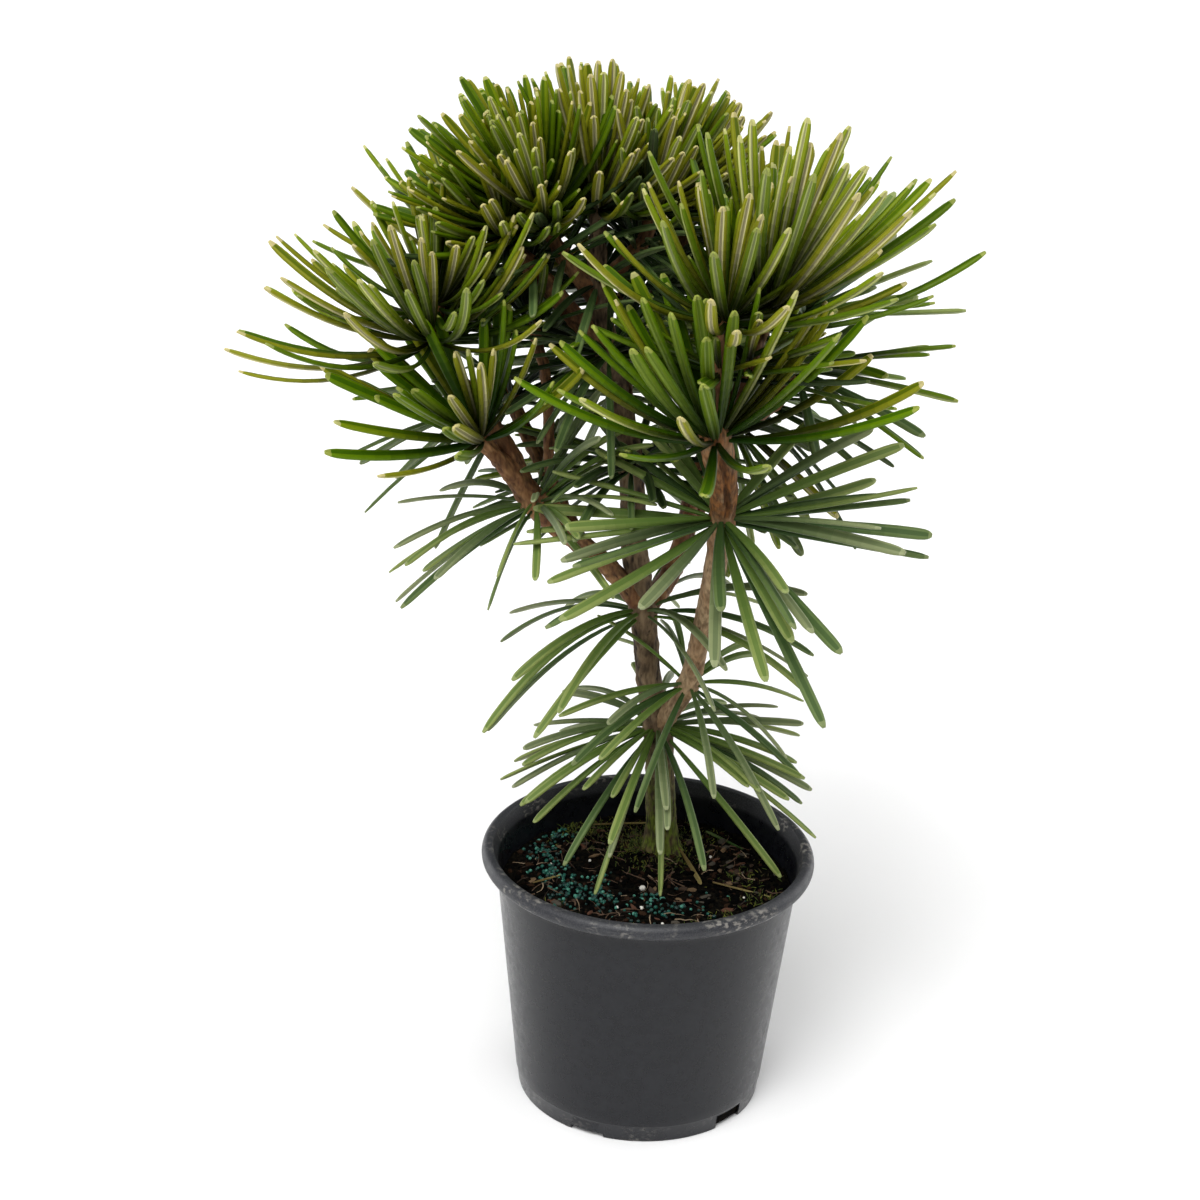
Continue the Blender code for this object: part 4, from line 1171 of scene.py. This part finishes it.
def strand(path, radius, sides=5):
    """Points and triangles of a thin tapering tube through points, in mm."""
    rings = []
    for i, centre in enumerate(path):
        ahead = path[min(i + 1, len(path) - 1)] - path[max(i - 1, 0)]
        side_way = ahead.orthogonal().normalized()
        other_way = ahead.normalized().cross(side_way)
        thin = radius * (1 - 0.7 * i / (len(path) - 1))
        for k in range(sides):
            across, up = polar(1, math.tau * k / sides)
            rings.append(centre + (side_way * across + other_way * up) * thin)
    points = np.array([tuple(p) for p in rings + [path[0], path[-1]]])
    return points, np.array(tube_triangles(len(path), sides))


def make_moss(draw):
    """Tufts of moss round the trunk's foot and at the back left."""
    blades = []
    for x, y in scatter(draw, MOSS_SPOTS):
        start = Vector(on_soil(x, y, -0.4))
        lean = Vector((draw.uniform(-1, 1), draw.uniform(-1, 1), draw.uniform(0.6, 1.6))).normalized()
        tall = draw.uniform(1.6, 4.2)
        curl = Vector((draw.uniform(-1, 1), draw.uniform(-1, 1), -0.5)) * (0.35 * tall)
        path = [start + lean * (tall * step) + curl * (step * step) for step in (0, 0.5, 1)]
        blades.append((*strand(path, 0.42, 3), draw.choice(STRAND_ODDS)))
    join("moss", blades, [plain_material(*row) for row in MOSS], "soil")


def make_fine_roots(draw):
    """Fine roots that wander over the peat and end at the pot's wall."""
    roots = []
    for _ in range(ROOT_COUNT):
        x, y = in_pot(draw, 8)
        angle, long = draw.uniform(0, math.tau), draw.uniform(5, 17)
        bend = draw.uniform(-0.8, 0.8)
        path = []
        for step in range(6):
            reach_x, reach_y = polar(long, angle + bend * step / 5)
            place = (x + reach_x * step / 5, y + reach_y * step / 5)
            if math.hypot(*place) > wall_radius(SOIL_TOP) - 4:
                break
            path.append(Vector(on_soil(*place, 0.9)))
        if len(path) > 3:
            roots.append((*strand(path, draw.uniform(0.18, 0.5)), draw.choice(STRAND_ODDS)))
    join("fine_roots", roots, [plain_material(*row) for row in ROOTS], "soil")


def make_shed_needles(materials):
    dealer = random.Random(SEED + 2)
    needles = []
    for x0, y0, x1, y1 in SHED_NEEDLES:
        start, end = Vector(on_soil(x0, y0, SHED_LIFT)), Vector(on_soil(x1, y1, SHED_LIFT))
        reach = end - start
        needles.append(Needle(start, reach.normalized(), Vector((0, 0, 1)), reach.length, 0.02, 0, 0,
                              dealer.uniform(-0.6, 0.6)))
    grown = [(needle, dealer.choice(("straw", "straw", "dusk")), SHED_GIRTH) for needle in needles]
    join("shed_needles", needle_parts(grown, "near", dealer), materials, "needles")


# ---------------------------------------- the plant
def obstacle_trees(frame):
    """Search trees of the pot, the soil and the limbs, from the solids."""
    meshes = [node.data for name, node in frame["nodes"].items() if not name.startswith("whorl")]
    return [BVHTree.FromPolygons([v.co for v in mesh.vertices], [p.vertices for p in mesh.polygons])
            for mesh in meshes]


def main():
    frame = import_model()
    make_camera()
    make_stage()
    make_pot()
    make_soil()
    draw = random.Random(SEED)
    make_peat_crumbs(draw)
    make_bark_chips(draw)
    make_fertiliser_beads(draw)
    make_perlite()
    draw = random.Random(SEED + 1)
    make_moss(draw)
    make_fine_roots(draw)
    limbs = {name: Limb(knots) for name, knots in LIMBS.items()}
    make_limbs(limbs)
    materials = needle_materials()
    make_needles(grow_whorls(limbs, obstacle_trees(frame)), materials)
    make_shed_needles(materials)


main()
